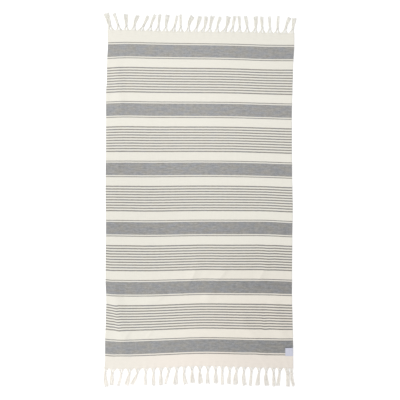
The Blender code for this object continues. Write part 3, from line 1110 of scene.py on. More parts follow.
def write_numbers(mesh: bpy.types.Mesh, name: str, domain: str, numbers: Array) -> None:
    """Keep a number for each point or each face corner of the mesh, for its finish to read."""
    attribute = mesh.attributes.new(name, "FLOAT", domain)
    attribute.data.foreach_set("value", numbers.astype(np.float32))


def corner_vertices(mesh: bpy.types.Mesh) -> Array:
    """Index of the vertex at each face corner."""
    found = np.empty(len(mesh.loops), dtype=np.int32)
    mesh.loops.foreach_get("vertex_index", found)
    return found


@dataclass
class Strands:
    """Many thin round strands of one number of stations, grown together into one mesh.

    paths and sides have a row for each strand and station: the strand's centre, and the direction
    that its first corner looks in. radii has one number for each strand and station.
    """

    paths: Array
    sides: Array
    radii: Array
    shades: Array
    ply_pitch: float = 0.0026
    corners: int = 4

    def rings(self) -> Array:
        """Corner points of every strand at every station.

        Returns:
            Their places, by strand, station and corner.
        """
        tangent = np.gradient(self.paths, axis=1)
        tangent /= np.linalg.norm(tangent, axis=2, keepdims=True)
        up = np.cross(self.sides, tangent)
        up /= np.linalg.norm(up, axis=2, keepdims=True)
        side = np.cross(tangent, up)
        angles = ((np.arange(self.corners) + 0.5) * 2.0 * math.pi / self.corners)[:, None]
        turned = side[:, :, None] * np.cos(angles) + up[:, :, None] * np.sin(angles)
        return self.paths[:, :, None] + turned * self.radii[:, :, None, None]

    def runs(self) -> Array:
        """Distance along each strand at every station, in metres."""
        steps = np.linalg.norm(np.diff(self.paths, axis=1), axis=2)
        return np.concatenate([np.zeros((len(steps), 1)), np.cumsum(steps, axis=1)], axis=1)

    def grow(self, bm: bmesh.types.BMesh, first: int) -> None:
        """Grow the strands in a bmesh.

        Args:
            bm: Where they grow; its integer layers strand, station and corner are filled.
            first: Number of the first of these strands among all in the mesh.
        """
        strand, station, corner = (bm.verts.layers.int[name] for name in STRAND_LAYERS)
        rings = self.rings()
        count, stations = self.radii.shape
        verts = []
        for number in range(count):
            ring = bmesh.ops.create_circle(bm, segments=self.corners, radius=1.0)["verts"]
            for index, vert in enumerate(ring):
                vert[strand] = first + number
                vert[corner] = index
            verts += ring
        edges = list(dict.fromkeys(edge for vert in verts for edge in vert.link_edges))
        ends = list(edges)
        for step in range(stations):
            if step > 0:
                grown = bmesh.ops.extrude_edge_only(bm, edges=edges)["geom"]
                verts = [item for item in grown if isinstance(item, bmesh.types.BMVert)]
                edges = [item for item in grown if isinstance(item, bmesh.types.BMEdge)]
            for vert in verts:
                vert[station] = step
                vert.co = rings[vert[strand] - first, step, vert[corner]]
        bmesh.ops.holes_fill(bm, edges=ends + edges, sides=self.corners)


def take_labels(mesh: bpy.types.Mesh) -> list[Array]:
    """Read where each vertex of a mesh of strands belongs, and take these numbers off the mesh.

    Args:
        mesh: The mesh.

    Returns:
        The strand, the station and the corner of every vertex.
    """
    labels = []
    for name in STRAND_LAYERS:
        numbers = np.empty(len(mesh.vertices), dtype=np.int32)
        mesh.attributes[name].data.foreach_get("value", numbers)
        mesh.attributes.remove(mesh.attributes[name])
        labels.append(numbers)
    return labels


def turn_parts(mesh: bpy.types.Mesh, corner: Array, station: Array, corners: int) -> Array:
    """How far round its strand each face corner lies.

    Args:
        mesh: A mesh of strands.
        corner: Number of the strand's corner at each face corner.
        station: Number of the station there.
        corners: How many corners the strands have.

    Returns:
        The part of a turn; it is 1 instead of 0 on the face that closes the turn.
    """
    starts = np.empty(len(mesh.polygons), dtype=np.int32)
    sizes = np.empty(len(mesh.polygons), dtype=np.int32)
    mesh.polygons.foreach_get("loop_start", starts)
    mesh.polygons.foreach_get("loop_total", sizes)

    def reach(numbers: Array) -> Array:
        """From the lowest to the highest number of each face, at each of its corners."""
        highest = np.maximum.reduceat(numbers, starts)
        return np.repeat(highest - np.minimum.reduceat(numbers, starts), sizes)

    closing = (reach(corner) > 1) & (corner == 0) & (reach(station) > 0)
    return np.where(closing, corners, corner) / corners


def strand_piece(groups: Sequence[Strands], name: str, finish: bpy.types.Material) -> bpy.types.Object:
    """Make one object of some groups of strands.

    Every strand gets its own cell of the map, the attributes shade and run, the part of its length at
    each point, and twist, the turns of its plies.

    Args:
        groups: The strands, with the same number of corners.
        name: The object's name.
        finish: Its material.

    Returns:
        The object.
    """
    bm = bmesh.new()
    for layer in STRAND_LAYERS:
        bm.verts.layers.int.new(layer)
    firsts = np.cumsum([0] + [len(group.paths) for group in groups])
    for group, first in zip(groups, firsts):
        group.grow(bm, int(first))
    bmesh.ops.recalc_face_normals(bm, faces=bm.faces[:])
    piece = finish_piece(bm, name, finish)
    mesh = piece.data
    strand, station, corner = take_labels(mesh)

    stations = max(group.radii.shape[1] for group in groups)
    runs = np.zeros((firsts[-1], stations))
    turns = np.zeros((firsts[-1], stations))
    for group, first in zip(groups, firsts):
        run = group.runs()
        own = (slice(first, first + len(run)), slice(run.shape[1]))
        runs[own] = run / run[:, -1:]
        turns[own] = run / group.ply_pitch
    shades = np.concatenate([group.shades for group in groups])

    at_corner = corner_vertices(mesh)
    number, step = strand[at_corner], station[at_corner]
    around = turn_parts(mesh, corner[at_corner], step, groups[0].corners)
    columns = math.ceil(firsts[-1] / MAP_ROWS)
    cell = np.stack([number % columns, number // columns], axis=1)
    inner = np.stack([around, runs[number, step]], axis=1)
    write_map(mesh, (cell + MAP_MARGIN + (1.0 - 2.0 * MAP_MARGIN) * inner) / (columns, MAP_ROWS))
    write_numbers(mesh, "shade", "POINT", shades[strand])
    write_numbers(mesh, "run", "POINT", runs[strand, station])
    write_numbers(mesh, "twist", "CORNER", turns[number, step] + around)
    return piece


@dataclass
class TowelCloth:
    """The woven cloth between its two fringed edges, with its creases and selvedges."""

    lay: ClothLay
    finish: WovenFinish
    cells_across: int = 190
    cells_along: int = 256
    fine_up_to: float = -0.33
    fine_cells: int = 140
    edge_cell: float = 0.0012
    thickness: float = 0.0011
    scallop_half: float = 0.0065
    scallop_depth: float = 0.012

    def build(self) -> bpy.types.Object:
        """Build the cloth on its laid plan.

        Returns:
            The cloth, with its thickness from a live modifier.
        """
        bm = bmesh.new()
        bmesh.ops.create_grid(bm, x_segments=self.cells_across, y_segments=self.cells_along, size=0.5)
        flat = np.array([vert.co for vert in bm.verts])
        across = self.column_places(flat[:, 0] + 0.5)
        along = self.row_places(flat[:, 1] + 0.5)
        x, y = self.lay.plan(across, along)
        y += self.edge_scallops(x, along)
        for vert, place in zip(bm.verts, np.stack([x, y, self.lay.height(across, along)], axis=1)):
            vert.co = place
        piece = finish_piece(bm, "striped_cloth", self.finish.material(self.lay))
        woven = np.stack([across / self.lay.width, along / self.lay.length], axis=1) + 0.5
        write_map(piece.data, woven[corner_vertices(piece.data)])
        body = piece.modifiers.new("thickness", "SOLIDIFY")
        body.thickness = self.thickness
        body.offset = 1.0
        body.use_even_offset = False
        return join_frame(piece, "cloth", "towel_cloth")

    def column_places(self, part: Array) -> Array:
        """Where the columns of cells lie across the weave.

        Args:
            part: Places on a grid of even cells, from 0 to 1.

        Returns:
            Places across the weave, even but for a narrow cell at each selvedge.
        """
        half = self.lay.width / 2
        cell = 1.0 / self.cells_across
        inner = half - self.edge_cell
        return np.interp(part, (0.0, cell, 1.0 - cell, 1.0), (-half, -inner, inner, half))

    def row_places(self, part: Array) -> Array:
        """Where the rows of cells lie along the weave.

        Args:
            part: Places on a grid of even cells, from 0 to 1.

        Returns:
            Places along the weave, closer together towards the creased bottom end.
        """
        half = self.lay.length / 2
        cell = 1.0 / self.cells_along
        inner = half - self.edge_cell
        rows = (0.0, cell, self.fine_cells * cell, 1.0 - cell, 1.0)
        return np.interp(part, rows, (-half, -inner, self.fine_up_to, inner, half))

    def edge_scallops(self, x: Array, along: Array) -> Array:
        """How far the last wefts stand back from the straight edge between the tassels.

        Args:
            x: X of places in the weave.
            along: Their places along the weave.

        Returns:
            What is added to their Y.
        """
        shift = np.zeros_like(x)
        for end, tassels, roots in ENDS:
            near = ease(1.0 - (self.lay.length / 2 - end.value * along) / self.scallop_depth)
            for bound in root_bounds(tassels):
                shift -= end.value * roots.scallop * near * bell(x - bound, self.scallop_half)
        return shift


@dataclass(frozen=True)
class LegForm:
    """The two legs of a tassel, from inside the cloth to just before its knot.

    A leg starts as wide as its part of the edge, with flat_share of its height, and is drawn together
    at drawn_by of its way. At the knot it takes knot_share of the knot's width. On its outer side,
    over side_share of its width, it starts back_share of the scallop between two tassels further in.
    """

    root_depth: float = 0.008
    knot_share: float = 0.38
    narrowing: float = 1.4
    height: float = 0.0030
    flat_share: float = 0.35
    drawn_by: float = 0.8
    side_share: float = 0.5
    back_share: float = 0.8
    twist: tuple[float, float] = (1.2, 2.6)
    stations: tuple[float, ...] = (0.0, 0.24, 0.5, 0.76)


@dataclass(frozen=True)
class KnotForm:
    """The knot of a tassel: both legs side by side as its core, and the yarns wound round it.

    start, middle and end are distances from the cloth's edge. The wraps swell towards the middle, both
    ends of each are tucked in, and their yarn is a little thicker.
    """

    start: float = 0.021
    middle: float = 0.026
    end: float = 0.031
    neck_share: float = 0.82
    height: float = 0.0066
    core_share: float = 0.66
    wraps: int = 8
    pitch: float = 0.00092
    stations: int = 16
    first_angle: float = -math.pi / 2 - 0.6
    turn: float = math.radians(430.0)
    slip: float = 0.12
    slant: float = 0.0026
    slant_spread: tuple[float, float] = (0.7, 1.3)
    wander: float = 0.00012
    swell: float = 0.20
    swell_reach: float = 0.0045
    tuck: float = 0.30
    tuck_part: float = 0.10
    thicker: float = 1.08
    shades: tuple[float, float] = (0.15, 0.85)


@dataclass(frozen=True)
class LockForm:
    """The loose yarns past the knot, in locks that part a little and end unevenly.

    steps are parts of the way from the knot to the tip. length_phase turns the locks' uneven lengths
    from tassel to tassel and from lock to lock, wave_phase their waves from tassel to tassel and along
    the way. Within a lock each yarn wiggles to the sides and bobs up and down, and a few stray.
    """

    count: int = 3
    gap: float = 0.0012
    height: float = 0.0030
    tip_height: float = 0.0022
    unevenness: float = 0.05
    length_phase: tuple[float, float] = (2.4, 2.1)
    length_spread: float = 0.028
    wave: float = 0.0008
    wave_phase: tuple[float, float] = (1.7, 2.6)
    fill: float = 0.86
    jitter: float = 0.12
    stray_part: float = 0.10
    stray: float = 0.0030
    wiggle: tuple[float, float] = (0.0003, 0.0009)
    turns: tuple[float, float] = (0.7, 1.9)
    bob: float = 0.12
    bob_turns: float = 0.8
    steps: tuple[float, ...] = (0.12, 0.28, 0.46, 0.64, 0.82, 0.985, 1.0)


@dataclass(frozen=True)
class Bundle:
    """The yarns of one tassel.

    hand is -1 or 1 for the leg that a yarn is in; ring and angle are its place in the round of that leg.
    """

    hand: Array
    ring: Array
    angle: Array

    def turned(self, turn: Array | float) -> tuple[Array, Array]:
        """Places across and above the middle of each leg once it has turned, from -1 to 1."""
        return self.ring * np.cos(self.angle + turn), self.ring * np.sin(self.angle + turn)

    def ranks(self) -> Array:
        """Even places side by side for the yarns of each leg, in their order across it.

        Returns:
            A place from -1 to 1 for each yarn.
        """
        across, _ = self.turned(0.0)
        rank = np.empty(len(across))
        for sign in (-1.0, 1.0):
            own = np.flatnonzero(self.hand == sign)
            rank[own[np.argsort(across[own])]] = (np.arange(len(own)) + 0.5) / len(own) * 2.0 - 1.0
        return rank


@dataclass
class Fringe:
    """One fringe: warp ends drawn in two legs to each knot, then hanging loose in locks."""

    name: str
    node: str
    end: End
    tassels: Sequence[Tassel]
    roots: Roots
    lay: ClothLay
    finish: bpy.types.Material
    seed: int
    legs: LegForm = LegForm()
    knot: KnotForm = KnotForm()
    locks: LockForm = LockForm()
    yarns: int = 46
    yarn_radius: float = 0.00052
    loose_radius: float = 0.00062
    radius_spread: tuple[float, float] = (0.92, 1.08)
    tip_taper: float = 0.8
    own_shade: float = 0.7
    mid_cloth: float = 0.00055

    def build(self) -> bpy.types.Object:
        """Build all the tassels.

        Returns:
            The fringe as one piece.
        """
        rng = np.random.default_rng(self.seed)
        yarns, wraps = [], []
        for number, (row, span) in enumerate(zip(self.tassels, self.root_spans())):
            yarns.append(self.tassel_yarns(row, span, number, rng))
            wraps.append(self.knot_wraps(row, rng))
        piece = strand_piece([self.joined(yarns), self.joined(wraps)], self.name, self.finish)
        return join_frame(piece, "fringe", self.node)

    def knot_width(self, row: Tassel) -> float:
        """Width of a tassel's knot."""
        return self.roots.knot * row.fullness

    def neck_width(self, row: Tassel) -> float:
        """Width of a tassel on either side of its knot's wraps."""
        return self.knot.neck_share * self.knot_width(row)

    def joined(self, groups: Sequence[Strands]) -> Strands:
        """Many groups of strands with the same stations as one."""
        names = ("paths", "sides", "radii", "shades")
        return Strands(*(np.concatenate([getattr(group, name) for group in groups]) for name in names))

    def root_spans(self) -> list[tuple[float, float]]:
        """The stretch of the cloth's edge that each tassel gathers.

        Returns:
            Pairs of X, from left to right.
        """
        bounds = root_bounds(self.tassels)
        left, right = self.lay.selvedge_x(np.array([self.end.value * self.lay.length / 2]))
        lows = [float(left[0]) + self.yarn_radius, *(bounds + self.roots.gap / 2)]
        highs = [*(bounds - self.roots.gap / 2), float(right[0]) - self.yarn_radius]
        return list(zip(lows, highs))

    def spine(self, row: Tassel, distance: Array) -> tuple[Array, Array]:
        """Centre of a tassel and its sideways direction.

        Args:
            row: The tassel.
            distance: Distances out from the cloth's edge, of any shape.

        Returns:
            The centres and the unit directions to the side, with X and Y in the last axis.
        """
        root = np.stack(self.lay.edge(np.array([row.root * MILLIMETRE]), self.end), axis=1)[0]
        reach = row.reach * MILLIMETRE
        part = distance / reach
        sideways = (row.lean * part + row.bow * np.sin(math.pi * part)) * MILLIMETRE
        lean = (row.lean + row.bow * math.pi * np.cos(math.pi * part)) * MILLIMETRE / reach
        centre = root + np.stack([sideways, self.end.value * distance], axis=-1)
        side = np.stack([np.ones_like(lean), -lean * self.end.value], axis=-1)
        return centre, side / np.linalg.norm(side, axis=-1, keepdims=True)

    def tassel_yarns(
        self, row: Tassel, span: tuple[float, float], number: int, rng: np.random.Generator
    ) -> Strands:
        """The yarns of one tassel, from inside the cloth to the tip.

        Args:
            row: The tassel.
            span: The stretch of edge that it gathers.
            number: Its place in the fringe, from the left.
            rng: Source of the unevenness.

        Returns:
            The strands.
        """
        half = round(self.yarns * row.fullness / 2)
        hand = np.repeat([-1.0, 1.0], half)
        order = np.tile(np.arange(half), 2)
        bundle = Bundle(hand, np.sqrt((order + 0.5) / half), order * GOLDEN_ANGLE + hand)
        turn = np.where(hand < 0, *rng.uniform(*self.legs.twist, 2))
        groups = (
            self.leg_paths(row, span, bundle, turn),
            self.knot_paths(row, bundle, turn),
            self.loose_paths(row, bundle, turn, number, rng),
        )
        paths = np.concatenate(groups, axis=1)
        edge_y = self.lay.edge(paths[:, 0, 0], self.end)[1]
        _, side = self.spine(row, np.abs(paths[:, :, 1] - edge_y[:, None]))
        sides = np.concatenate([side, np.zeros((*side.shape[:2], 1))], axis=2)
        radii = np.full(paths.shape[:2], self.yarn_radius)
        radii[:, -len(self.locks.steps):] = self.loose_radius
        radii *= rng.uniform(*self.radius_spread, (len(hand), 1))
        radii[:, -1] *= self.tip_taper
        shades = rng.uniform(0.0, 1.0, len(hand)) * self.own_shade
        shades += (1.0 - self.own_shade) * rng.uniform()
        return Strands(paths, sides, radii, shades)

    def leg_paths(self, row: Tassel, span: tuple[float, float], bundle: Bundle, turn: Array) -> Array:
        """The yarns from inside the cloth to just before the knot.

        Args:
            row: The tassel.
            span: The stretch of edge that it gathers.
            bundle: Its yarns.
            turn: How far each yarn's leg has turned at the knot.

        Returns:
            A point for each yarn and station.
        """
        low, high = span
        form = self.legs
        hand = bundle.hand
        leg = (high - low) * self.roots.leg_share
        middle = np.where(hand < 0, low + leg / 2, high - leg / 2)
        rank = bundle.ranks()
        root_x = middle + rank * leg / 2
        _, edge_y = self.lay.edge(root_x, self.end)
        edge_along = np.full_like(root_x, self.end.value * self.lay.length / 2)
        root_across = self.lay.across_of(root_x, edge_along)
        back_along = edge_along - self.end.value * form.root_depth
        back_x, back_y = self.lay.plan(root_across, back_along)
        from_side = np.abs(root_x - middle + np.where(hand < 0, leg / 2, -leg / 2)) / leg
        back = self.roots.scallop * (1.0 - ease(from_side / form.side_share)) * form.back_share
        edge_y = edge_y - self.end.value * back
        edge_lift = self.lay.height(root_across, edge_along)
        back_lift = self.lay.height(root_across, back_along)

        knot_leg = form.knot_share * self.knot_width(row)
        entry, side = self.spine(row, np.array(self.knot.start))
        entry = entry + side * hand[:, None] * (self.neck_width(row) - knot_leg) / 2
        middle_y = np.where(hand < 0, edge_y[hand < 0].mean(), edge_y[hand > 0].mean())
        paths = [np.stack([back_x, back_y, back_lift + self.mid_cloth], axis=1)]
        for part in form.stations:
            drawn = ease(part / form.drawn_by)
            width = knot_leg + (leg - knot_leg) * (1.0 - part) ** form.narrowing
            height = form.height * (form.flat_share + (1.0 - form.flat_share) * part)
            centre = np.stack([middle, middle_y], axis=1) * (1.0 - part) + entry * part
            across, above = bundle.turned(turn * part)
            spread = rank * (1.0 - drawn) + across * drawn
            place = centre + side * (spread * (width / 2 - self.yarn_radius * drawn))[:, None]
            place[:, 1] += (edge_y - middle_y) * (1.0 - drawn)
            level = self.mid_cloth + (form.height / 2 - self.mid_cloth) * drawn
            level = np.maximum(level + above * drawn * (height / 2 - self.yarn_radius), self.yarn_radius)
            paths.append(np.column_stack([place, level + edge_lift * (1.0 - ease(part))]))
        return np.stack(paths, axis=1)

    def knot_paths(self, row: Tassel, bundle: Bundle, turn: Array) -> Array:
        """The yarns through the knot, where both legs lie side by side.

        Args:
            row: The tassel.
            bundle: Its yarns.
            turn: How far each yarn's leg has turned.

        Returns:
            A point for each yarn and station.
        """
        form, legs = self.knot, self.legs
        neck = self.neck_width(row)
        stations = (
            (form.start, legs.knot_share * self.knot_width(row), legs.height, legs.height / 2),
            (form.middle, neck / 2, form.height * form.core_share, form.height / 2),
            (form.end, neck / 2, legs.height, legs.height / 2),
        )
        across, above = bundle.turned(turn)
        paths = []
        for distance, width, height, level in stations:
            centre, side = self.spine(row, np.array(distance))
            sideways = bundle.hand * (neck - width) / 2 + across * (width / 2 - self.yarn_radius)
            lift = above * (height / 2 - self.yarn_radius)
            paths.append(np.column_stack([centre + side * sideways[:, None], level + lift]))
        return np.stack(paths, axis=1)

    def loose_paths(
        self, row: Tassel, bundle: Bundle, turn: Array, number: int, rng: np.random.Generator
    ) -> Array:
        """The yarns from the knot to the tip, spread in uneven locks.

        Args:
            row: The tassel.
            bundle: Its yarns.
            turn: How far each yarn's leg has turned.
            number: The tassel's place in the fringe, from the left.
            rng: Source of the unevenness.

        Returns:
            A point for each yarn and step.
        """
        form = self.locks
        across, above = bundle.turned(turn)
        high = 0.5 + 0.5 * above
        count = len(across)
        rank = np.empty(count)
        rank[np.argsort(bundle.hand + across)] = (np.arange(count) + 0.5) / count
        lock = np.floor(rank * form.count)
        inner = rank * form.count - lock - 0.5
        inner = inner * form.fill + rng.uniform(-form.jitter, form.jitter, count)
        place = lock - (form.count - 1) / 2
        neck = self.neck_width(row)
        flare = row.flare * MILLIMETRE
        by_tassel, by_lock = form.length_phase
        shortening = form.unevenness * (0.5 + 0.5 * np.sin(by_tassel * number + by_lock * lock))
        length = (row.reach * MILLIMETRE - self.knot.end) * (1.0 - shortening)
        length *= 1.0 + rng.normal(0.0, form.length_spread, count)
        stray = np.where(rng.uniform(size=count) < form.stray_part, rng.normal(0.0, form.stray, count), 0.0)
        wiggle = rng.uniform(*form.wiggle, count)
        turns = rng.uniform(*form.turns, count) * 2.0 * math.pi
        phase = rng.uniform(0.0, 2.0 * math.pi, count)
        by_tassel, by_step = form.wave_phase
        paths = []
        for step in form.steps:
            freed = ease(step * 2.0)
            centre, side = self.spine(row, self.knot.end + length * step)
            spread = neck + (flare - neck) * (1.0 - (1.0 - step) ** 2)
            wave = form.wave * step * np.sin(by_tassel * number + by_step * step + lock)
            width = spread / form.count - form.gap * min(1.0, 2.0 * step)
            sideways = place * spread / form.count + wave + inner * width
            sideways += wiggle * freed * np.sin(turns * step + phase) + stray * step * step
            height = form.height + (form.tip_height - form.height) * step
            level = self.loose_radius + high * (height - 2 * self.loose_radius)
            level *= 1.0 + form.bob * np.sin(turns * step * form.bob_turns + 2.0 * phase) * freed
            level = np.maximum(level, self.loose_radius)
            paths.append(np.column_stack([centre + side * sideways[:, None], level]))
        return np.stack(paths, axis=1)

    def knot_wraps(self, row: Tassel, rng: np.random.Generator) -> Strands:
        """The yarns that turn round a tassel as its knot, side by side and on a slant.

        Args:
            row: The tassel.
            rng: Source of the unevenness.

        Returns:
            The strands.
        """
        form = self.knot
        number = (np.arange(form.wraps) - (form.wraps - 1) / 2)[:, None]
        part = np.linspace(0.0, 1.0, form.stations)[None, :]
        slip = rng.uniform(-form.slip, form.slip, (form.wraps, 1))
        angle = form.first_angle + part * form.turn + slip
        slant = form.slant * rng.uniform(*form.slant_spread)
        axial = number * form.pitch + slant * (part - 0.5) * 2.0
        axial = axial + rng.uniform(-form.wander, form.wander, axial.shape)
        swell = 1.0 - form.swell * (axial / form.swell_reach) ** 2
        tucked = (1.0 - ease(part / form.tuck_part)) + (1.0 - ease((1.0 - part) / form.tuck_part))
        size = swell * (1.0 - form.tuck * tucked)
        half_width = (self.knot_width(row) / 2 - self.yarn_radius) * size
        half_height = (form.height / 2 - self.yarn_radius) * size
        centre, side = self.spine(row, form.middle + axial)
        place = centre + side * (np.cos(angle) * half_width)[:, :, None]
        level = form.height / 2 + np.sin(angle) * half_height
        paths = np.concatenate([place, level[:, :, None]], axis=2)
        run = np.stack([-side[:, :, 1], side[:, :, 0], np.zeros(axial.shape)], axis=2)
        radii = np.full(axial.shape, self.yarn_radius * form.thicker)
        return Strands(paths, run, radii, rng.uniform(*form.shades, form.wraps))


@dataclass(frozen=True)
class Stitch:
    """One kind of stitch: half its length, and the radius of its thread."""

    half: float
    radius: float
    ply_pitch: float = 0.0009
    corners: int = 6


@dataclass
class Label:
    """The small blank patch near the lower right corner, sewn down all round."""

    lay: ClothLay
    finish: TapeFinish
    cloth_thickness: float
    centre_x: float = 0.4755
    centre_y: float = -0.8131
    width: float = 0.0406
    height: float = 0.0433
    cells: int = 28
    thickness: float = 0.00045
    clearance: float = 0.00035
    pillow: float = 0.00050
    pillow_edge: float = 0.006
    ripple: float = 0.00010
    ripple_turns: tuple[float, float] = (330.0, 120.0)
    soft_edge: float = 0.00018
    seam_inset: float = 0.0019
    seam_dip: float = 0.00028
    seam_dip_reach: float = 0.0009
    seam_pitch: float = 0.0031
    seam_stitch: Stitch = Stitch(half=0.0012, radius=0.00020)
    # The close row of short dark threads just above the patch's upper edge: a painted shadow.
    shadow_stitch: Stitch = Stitch(half=0.0016, radius=0.00032)
    shadow_thread_count: int = 46
    shadow_inset: float = 0.0005
    shadow_run: float = 0.0325
    shadow_above: float = 0.0021
    shadow_slant: float = 0.25
    arch_parts: tuple[float, ...] = (-1.0, -0.86, -0.4, 0.4, 0.86, 1.0)
    arch_levels: tuple[float, ...] = (-0.00045, 0.00004, 0.00016, 0.00016, 0.00004, -0.00045)

    def build(self) -> bpy.types.Object:
        """Build the patch, a little raised inside its seam.

        Returns:
            The patch, with its thickness and soft edge from live modifiers.
        """
        bm = bmesh.new()
        bmesh.ops.create_grid(bm, x_segments=self.cells, y_segments=self.cells, size=0.5)
        flat = np.array([vert.co for vert in bm.verts])
        x = self.centre_x + flat[:, 0] * self.width
        y = self.centre_y + flat[:, 1] * self.height
        for vert, place in zip(bm.verts, np.stack([x, y, self.underside(x, y)], axis=1)):
            vert.co = place
        piece = finish_piece(bm, "label_patch", self.finish.material())
        write_map(piece.data, flat[corner_vertices(piece.data), :2] + 0.5)
        body = piece.modifiers.new("thickness", "SOLIDIFY")
        body.thickness = self.thickness
        body.offset = 1.0
        edge = piece.modifiers.new("soft_edge", "BEVEL")
        edge.width = self.soft_edge
        edge.segments = 2
        return join_frame(piece, "label", "label")

    def off_edge(self, x: Array, y: Array) -> Array:
        """How far points lie inside the patch's edge; negative outside it."""
        off_x = self.width / 2 - np.abs(x - self.centre_x)
        return np.minimum(off_x, self.height / 2 - np.abs(y - self.centre_y))

    def cloth_top(self, x: Array, y: Array) -> Array:
        """Height of the cloth's upper side under the patch."""
        across, along = self.lay.woven(x, y)
        return self.lay.height(across, along) + self.cloth_thickness

    def underside(self, x: Array, y: Array) -> Array:
        """Height of the patch's underside: held down along its seam and loose inside it.

        Args:
            x: X of points on the patch.
            y: Y of those points.

        Returns:
            One height for each point.
        """
        off_seam = self.off_edge(x, y) - self.seam_inset
        inside = ease(off_seam / self.pillow_edge)
        dip = self.seam_dip * bell(off_seam, self.seam_dip_reach)
        by_x, by_y = self.ripple_turns
        ripple = self.ripple * np.sin(by_x * x + by_y * y) * inside
        return self.cloth_top(x, y) + self.clearance + self.pillow * inside - dip + ripple

    def seam_points(self) -> tuple[Array, Array]:
        """Where the running stitches lie, on a rectangle inside the patch's edge.

        Returns:
            Their middles and their directions.
        """
        half_x = self.width / 2 - self.seam_inset
        half_y = self.height / 2 - self.seam_inset
        centres, runs = [], []
        for run, other, long_half, short_half in (
            ((1.0, 0.0), (0.0, 1.0), half_x, half_y),
            ((0.0, 1.0), (1.0, 0.0), half_y, half_x),
        ):
            count = round(2 * long_half / self.seam_pitch)
            steps = (np.arange(count) + 0.5) / count * 2.0 - 1.0
            for sign in (-1.0, 1.0):
                centres.append(np.outer(steps * long_half, run) + np.array(other) * sign * short_half)
                runs.append(np.tile(run, (count, 1)))
        return np.concatenate(centres) + (self.centre_x, self.centre_y), np.concatenate(runs)

    def stitches(self, finish: ThreadFinish) -> bpy.types.Object:
        """The running stitches that hold the patch."""
        sewn = self.stitch_strands(*self.seam_points(), self.seam_stitch)
        return join_frame(strand_piece([sewn], "label_stitches", finish.material()), "label")

    def shadow_threads(self, finish: ThreadFinish) -> bpy.types.Object:
        """Painted shadow: a close row of short dark threads just above the patch's upper edge.

        Args:
            finish: Its thread.

        Returns:
            The tacking as one piece.
        """
        part = (np.arange(self.shadow_thread_count) + 0.5) / self.shadow_thread_count
        x = self.centre_x - self.width / 2 + self.shadow_inset + part * self.shadow_run
        y = np.full(self.shadow_thread_count, self.centre_y + self.height / 2 + self.shadow_above)
        slant = np.where(np.arange(self.shadow_thread_count) % 2 == 0, self.shadow_slant, -self.shadow_slant)
        run = np.column_stack([slant, np.ones(self.shadow_thread_count)])
        run /= np.linalg.norm(run, axis=1, keepdims=True)
        sewn = self.stitch_strands(np.column_stack([x, y]), run, self.shadow_stitch)
        return join_frame(strand_piece([sewn], "label_painted_shadow", finish.material()), "label")

    def stitch_strands(self, centre: Array, run: Array, stitch: Stitch) -> Strands:
        """Short arched threads that dip into the cloth at both ends.

        Args:
            centre: Middle of each stitch.
            run: Direction of each stitch.
            stitch: Their kind.

        Returns:
            The strands.
        """
        parts = np.array(self.arch_parts)
        place = centre[:, None] + run[:, None] * (parts * stitch.half)[None, :, None]
        x, y = place[:, :, 0].ravel(), place[:, :, 1].ravel()
        on_patch = self.off_edge(x, y) > 0.0
        top = np.where(on_patch, self.underside(x, y) + self.thickness, self.cloth_top(x, y))
        level = top.reshape(place.shape[:2]) + np.array(self.arch_levels)
        paths = np.concatenate([place, level[:, :, None]], axis=2)
        side = np.column_stack([-run[:, 1], run[:, 0], np.zeros(len(run))])
        sides = np.repeat(side[:, None], len(parts), axis=1)
        radii = np.full(paths.shape[:2], stitch.radius)
        shades = np.full(len(paths), 0.5)
        return Strands(paths, sides, radii, shades, stitch.ply_pitch, stitch.corners)


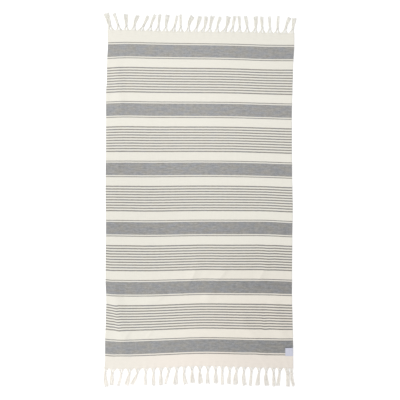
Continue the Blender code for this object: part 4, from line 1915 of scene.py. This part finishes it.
@dataclass
class Studio:
    """A plain white floor, one large soft lamp to the upper left, even fill, and the camera above."""

    floor_half: float = 8.0
    floor_cells: int = 4
    floor_drop: float = 0.0004
    white: Colour = (1.0, 1.0, 1.0)
    fill: float = 0.94
    lamp_place: Vector = field(default_factory=lambda: Vector((-3.20, 0.15, 2.90)))
    lamp_aim: Vector = field(default_factory=lambda: Vector((-0.20, 0.00, 0.0)))
    lamp_side: float = 1.6
    lamp_power: float = 93.0
    camera_place: Vector = field(default_factory=lambda: Vector((-0.0005, -0.0013, 5.045)))
    lens: float = 85.0

    def build(self) -> None:
        """Set up the floor, the light and the camera."""
        self.floor()
        self.light()
        self.camera()

    def floor(self) -> None:
        """The board that the towel lies on."""
        bm = bmesh.new()
        cells = self.floor_cells
        bmesh.ops.create_grid(bm, x_segments=cells, y_segments=cells, size=self.floor_half)
        bmesh.ops.translate(bm, vec=(0.0, 0.0, -self.floor_drop), verts=bm.verts[:])
        board = finish_piece(bm, "studio_floor", FloorFinish().material())

    def light(self) -> None:
        """Even white fill from all round, and the soft lamp."""
        world = bpy.data.worlds.new("studio")
        world.use_nodes = True
        background = world.node_tree.nodes["Background"]
        background.inputs["Color"].default_value = (*self.white, 1.0)
        background.inputs["Strength"].default_value = self.fill
        scene = bpy.context.scene
        scene.world = world
        scene.view_settings.view_transform = "Standard"
        lamp = bpy.data.lights.new("soft_lamp", "AREA")
        lamp.shape = "SQUARE"
        lamp.size = self.lamp_side
        lamp.energy = self.lamp_power
        stand = bpy.data.objects.new("soft_lamp", lamp)
        stand.location = self.lamp_place
        stand.rotation_euler = (self.lamp_aim - self.lamp_place).to_track_quat("-Z", "Y").to_euler()
        stand.visible_camera = False
        scene.collection.objects.link(stand)

    def camera(self) -> None:
        """The camera, straight above the middle, with the towel's top end up."""
        lens = bpy.data.cameras.new("camera")
        lens.lens = self.lens
        camera = bpy.data.objects.new("camera", lens)
        camera.location = self.camera_place
        bpy.context.scene.collection.objects.link(camera)
        bpy.context.scene.camera = camera


def main() -> None:
    """Build the studio and the towel, piece by piece."""
    logging.basicConfig(level=logging.INFO, format="%(name)s %(message)s")
    Studio().build()
    lay = ClothLay()
    cloth = TowelCloth(lay, WovenFinish())
    towel = cloth.build()
    top_painted_light = Ramp(start=-0.35, stop=0.05, first=0.925, last=0.97)
    top_yarn = YarnFinish("top_yarn", top_painted_light, tint=(0.985, 1.007, 1.0)).material()
    top = Fringe("top_fringe", "fringe_top", *ENDS[0], lay, top_yarn, seed=11).build()
    bottom_painted_light = Ramp(start=0.05, stop=0.45, first=1.02, last=0.955)
    bottom_yarn = YarnFinish("bottom_yarn", bottom_painted_light).material()
    bottom = Fringe("bottom_fringe", "fringe_bottom", *ENDS[1], lay, bottom_yarn, seed=23).build()
    label = Label(lay, TapeFinish(), cloth.thickness)
    patch = label.build()
    stitches = label.stitches(ThreadFinish("pale_thread", (0.55, 0.55, 0.62)))
    # Dark threads as a painted shadow along the patch's upper edge.
    shadow_threads = label.shadow_threads(ThreadFinish("painted_shadow_thread", (0.085, 0.087, 0.100)))


if __name__ == "__main__":
    main()
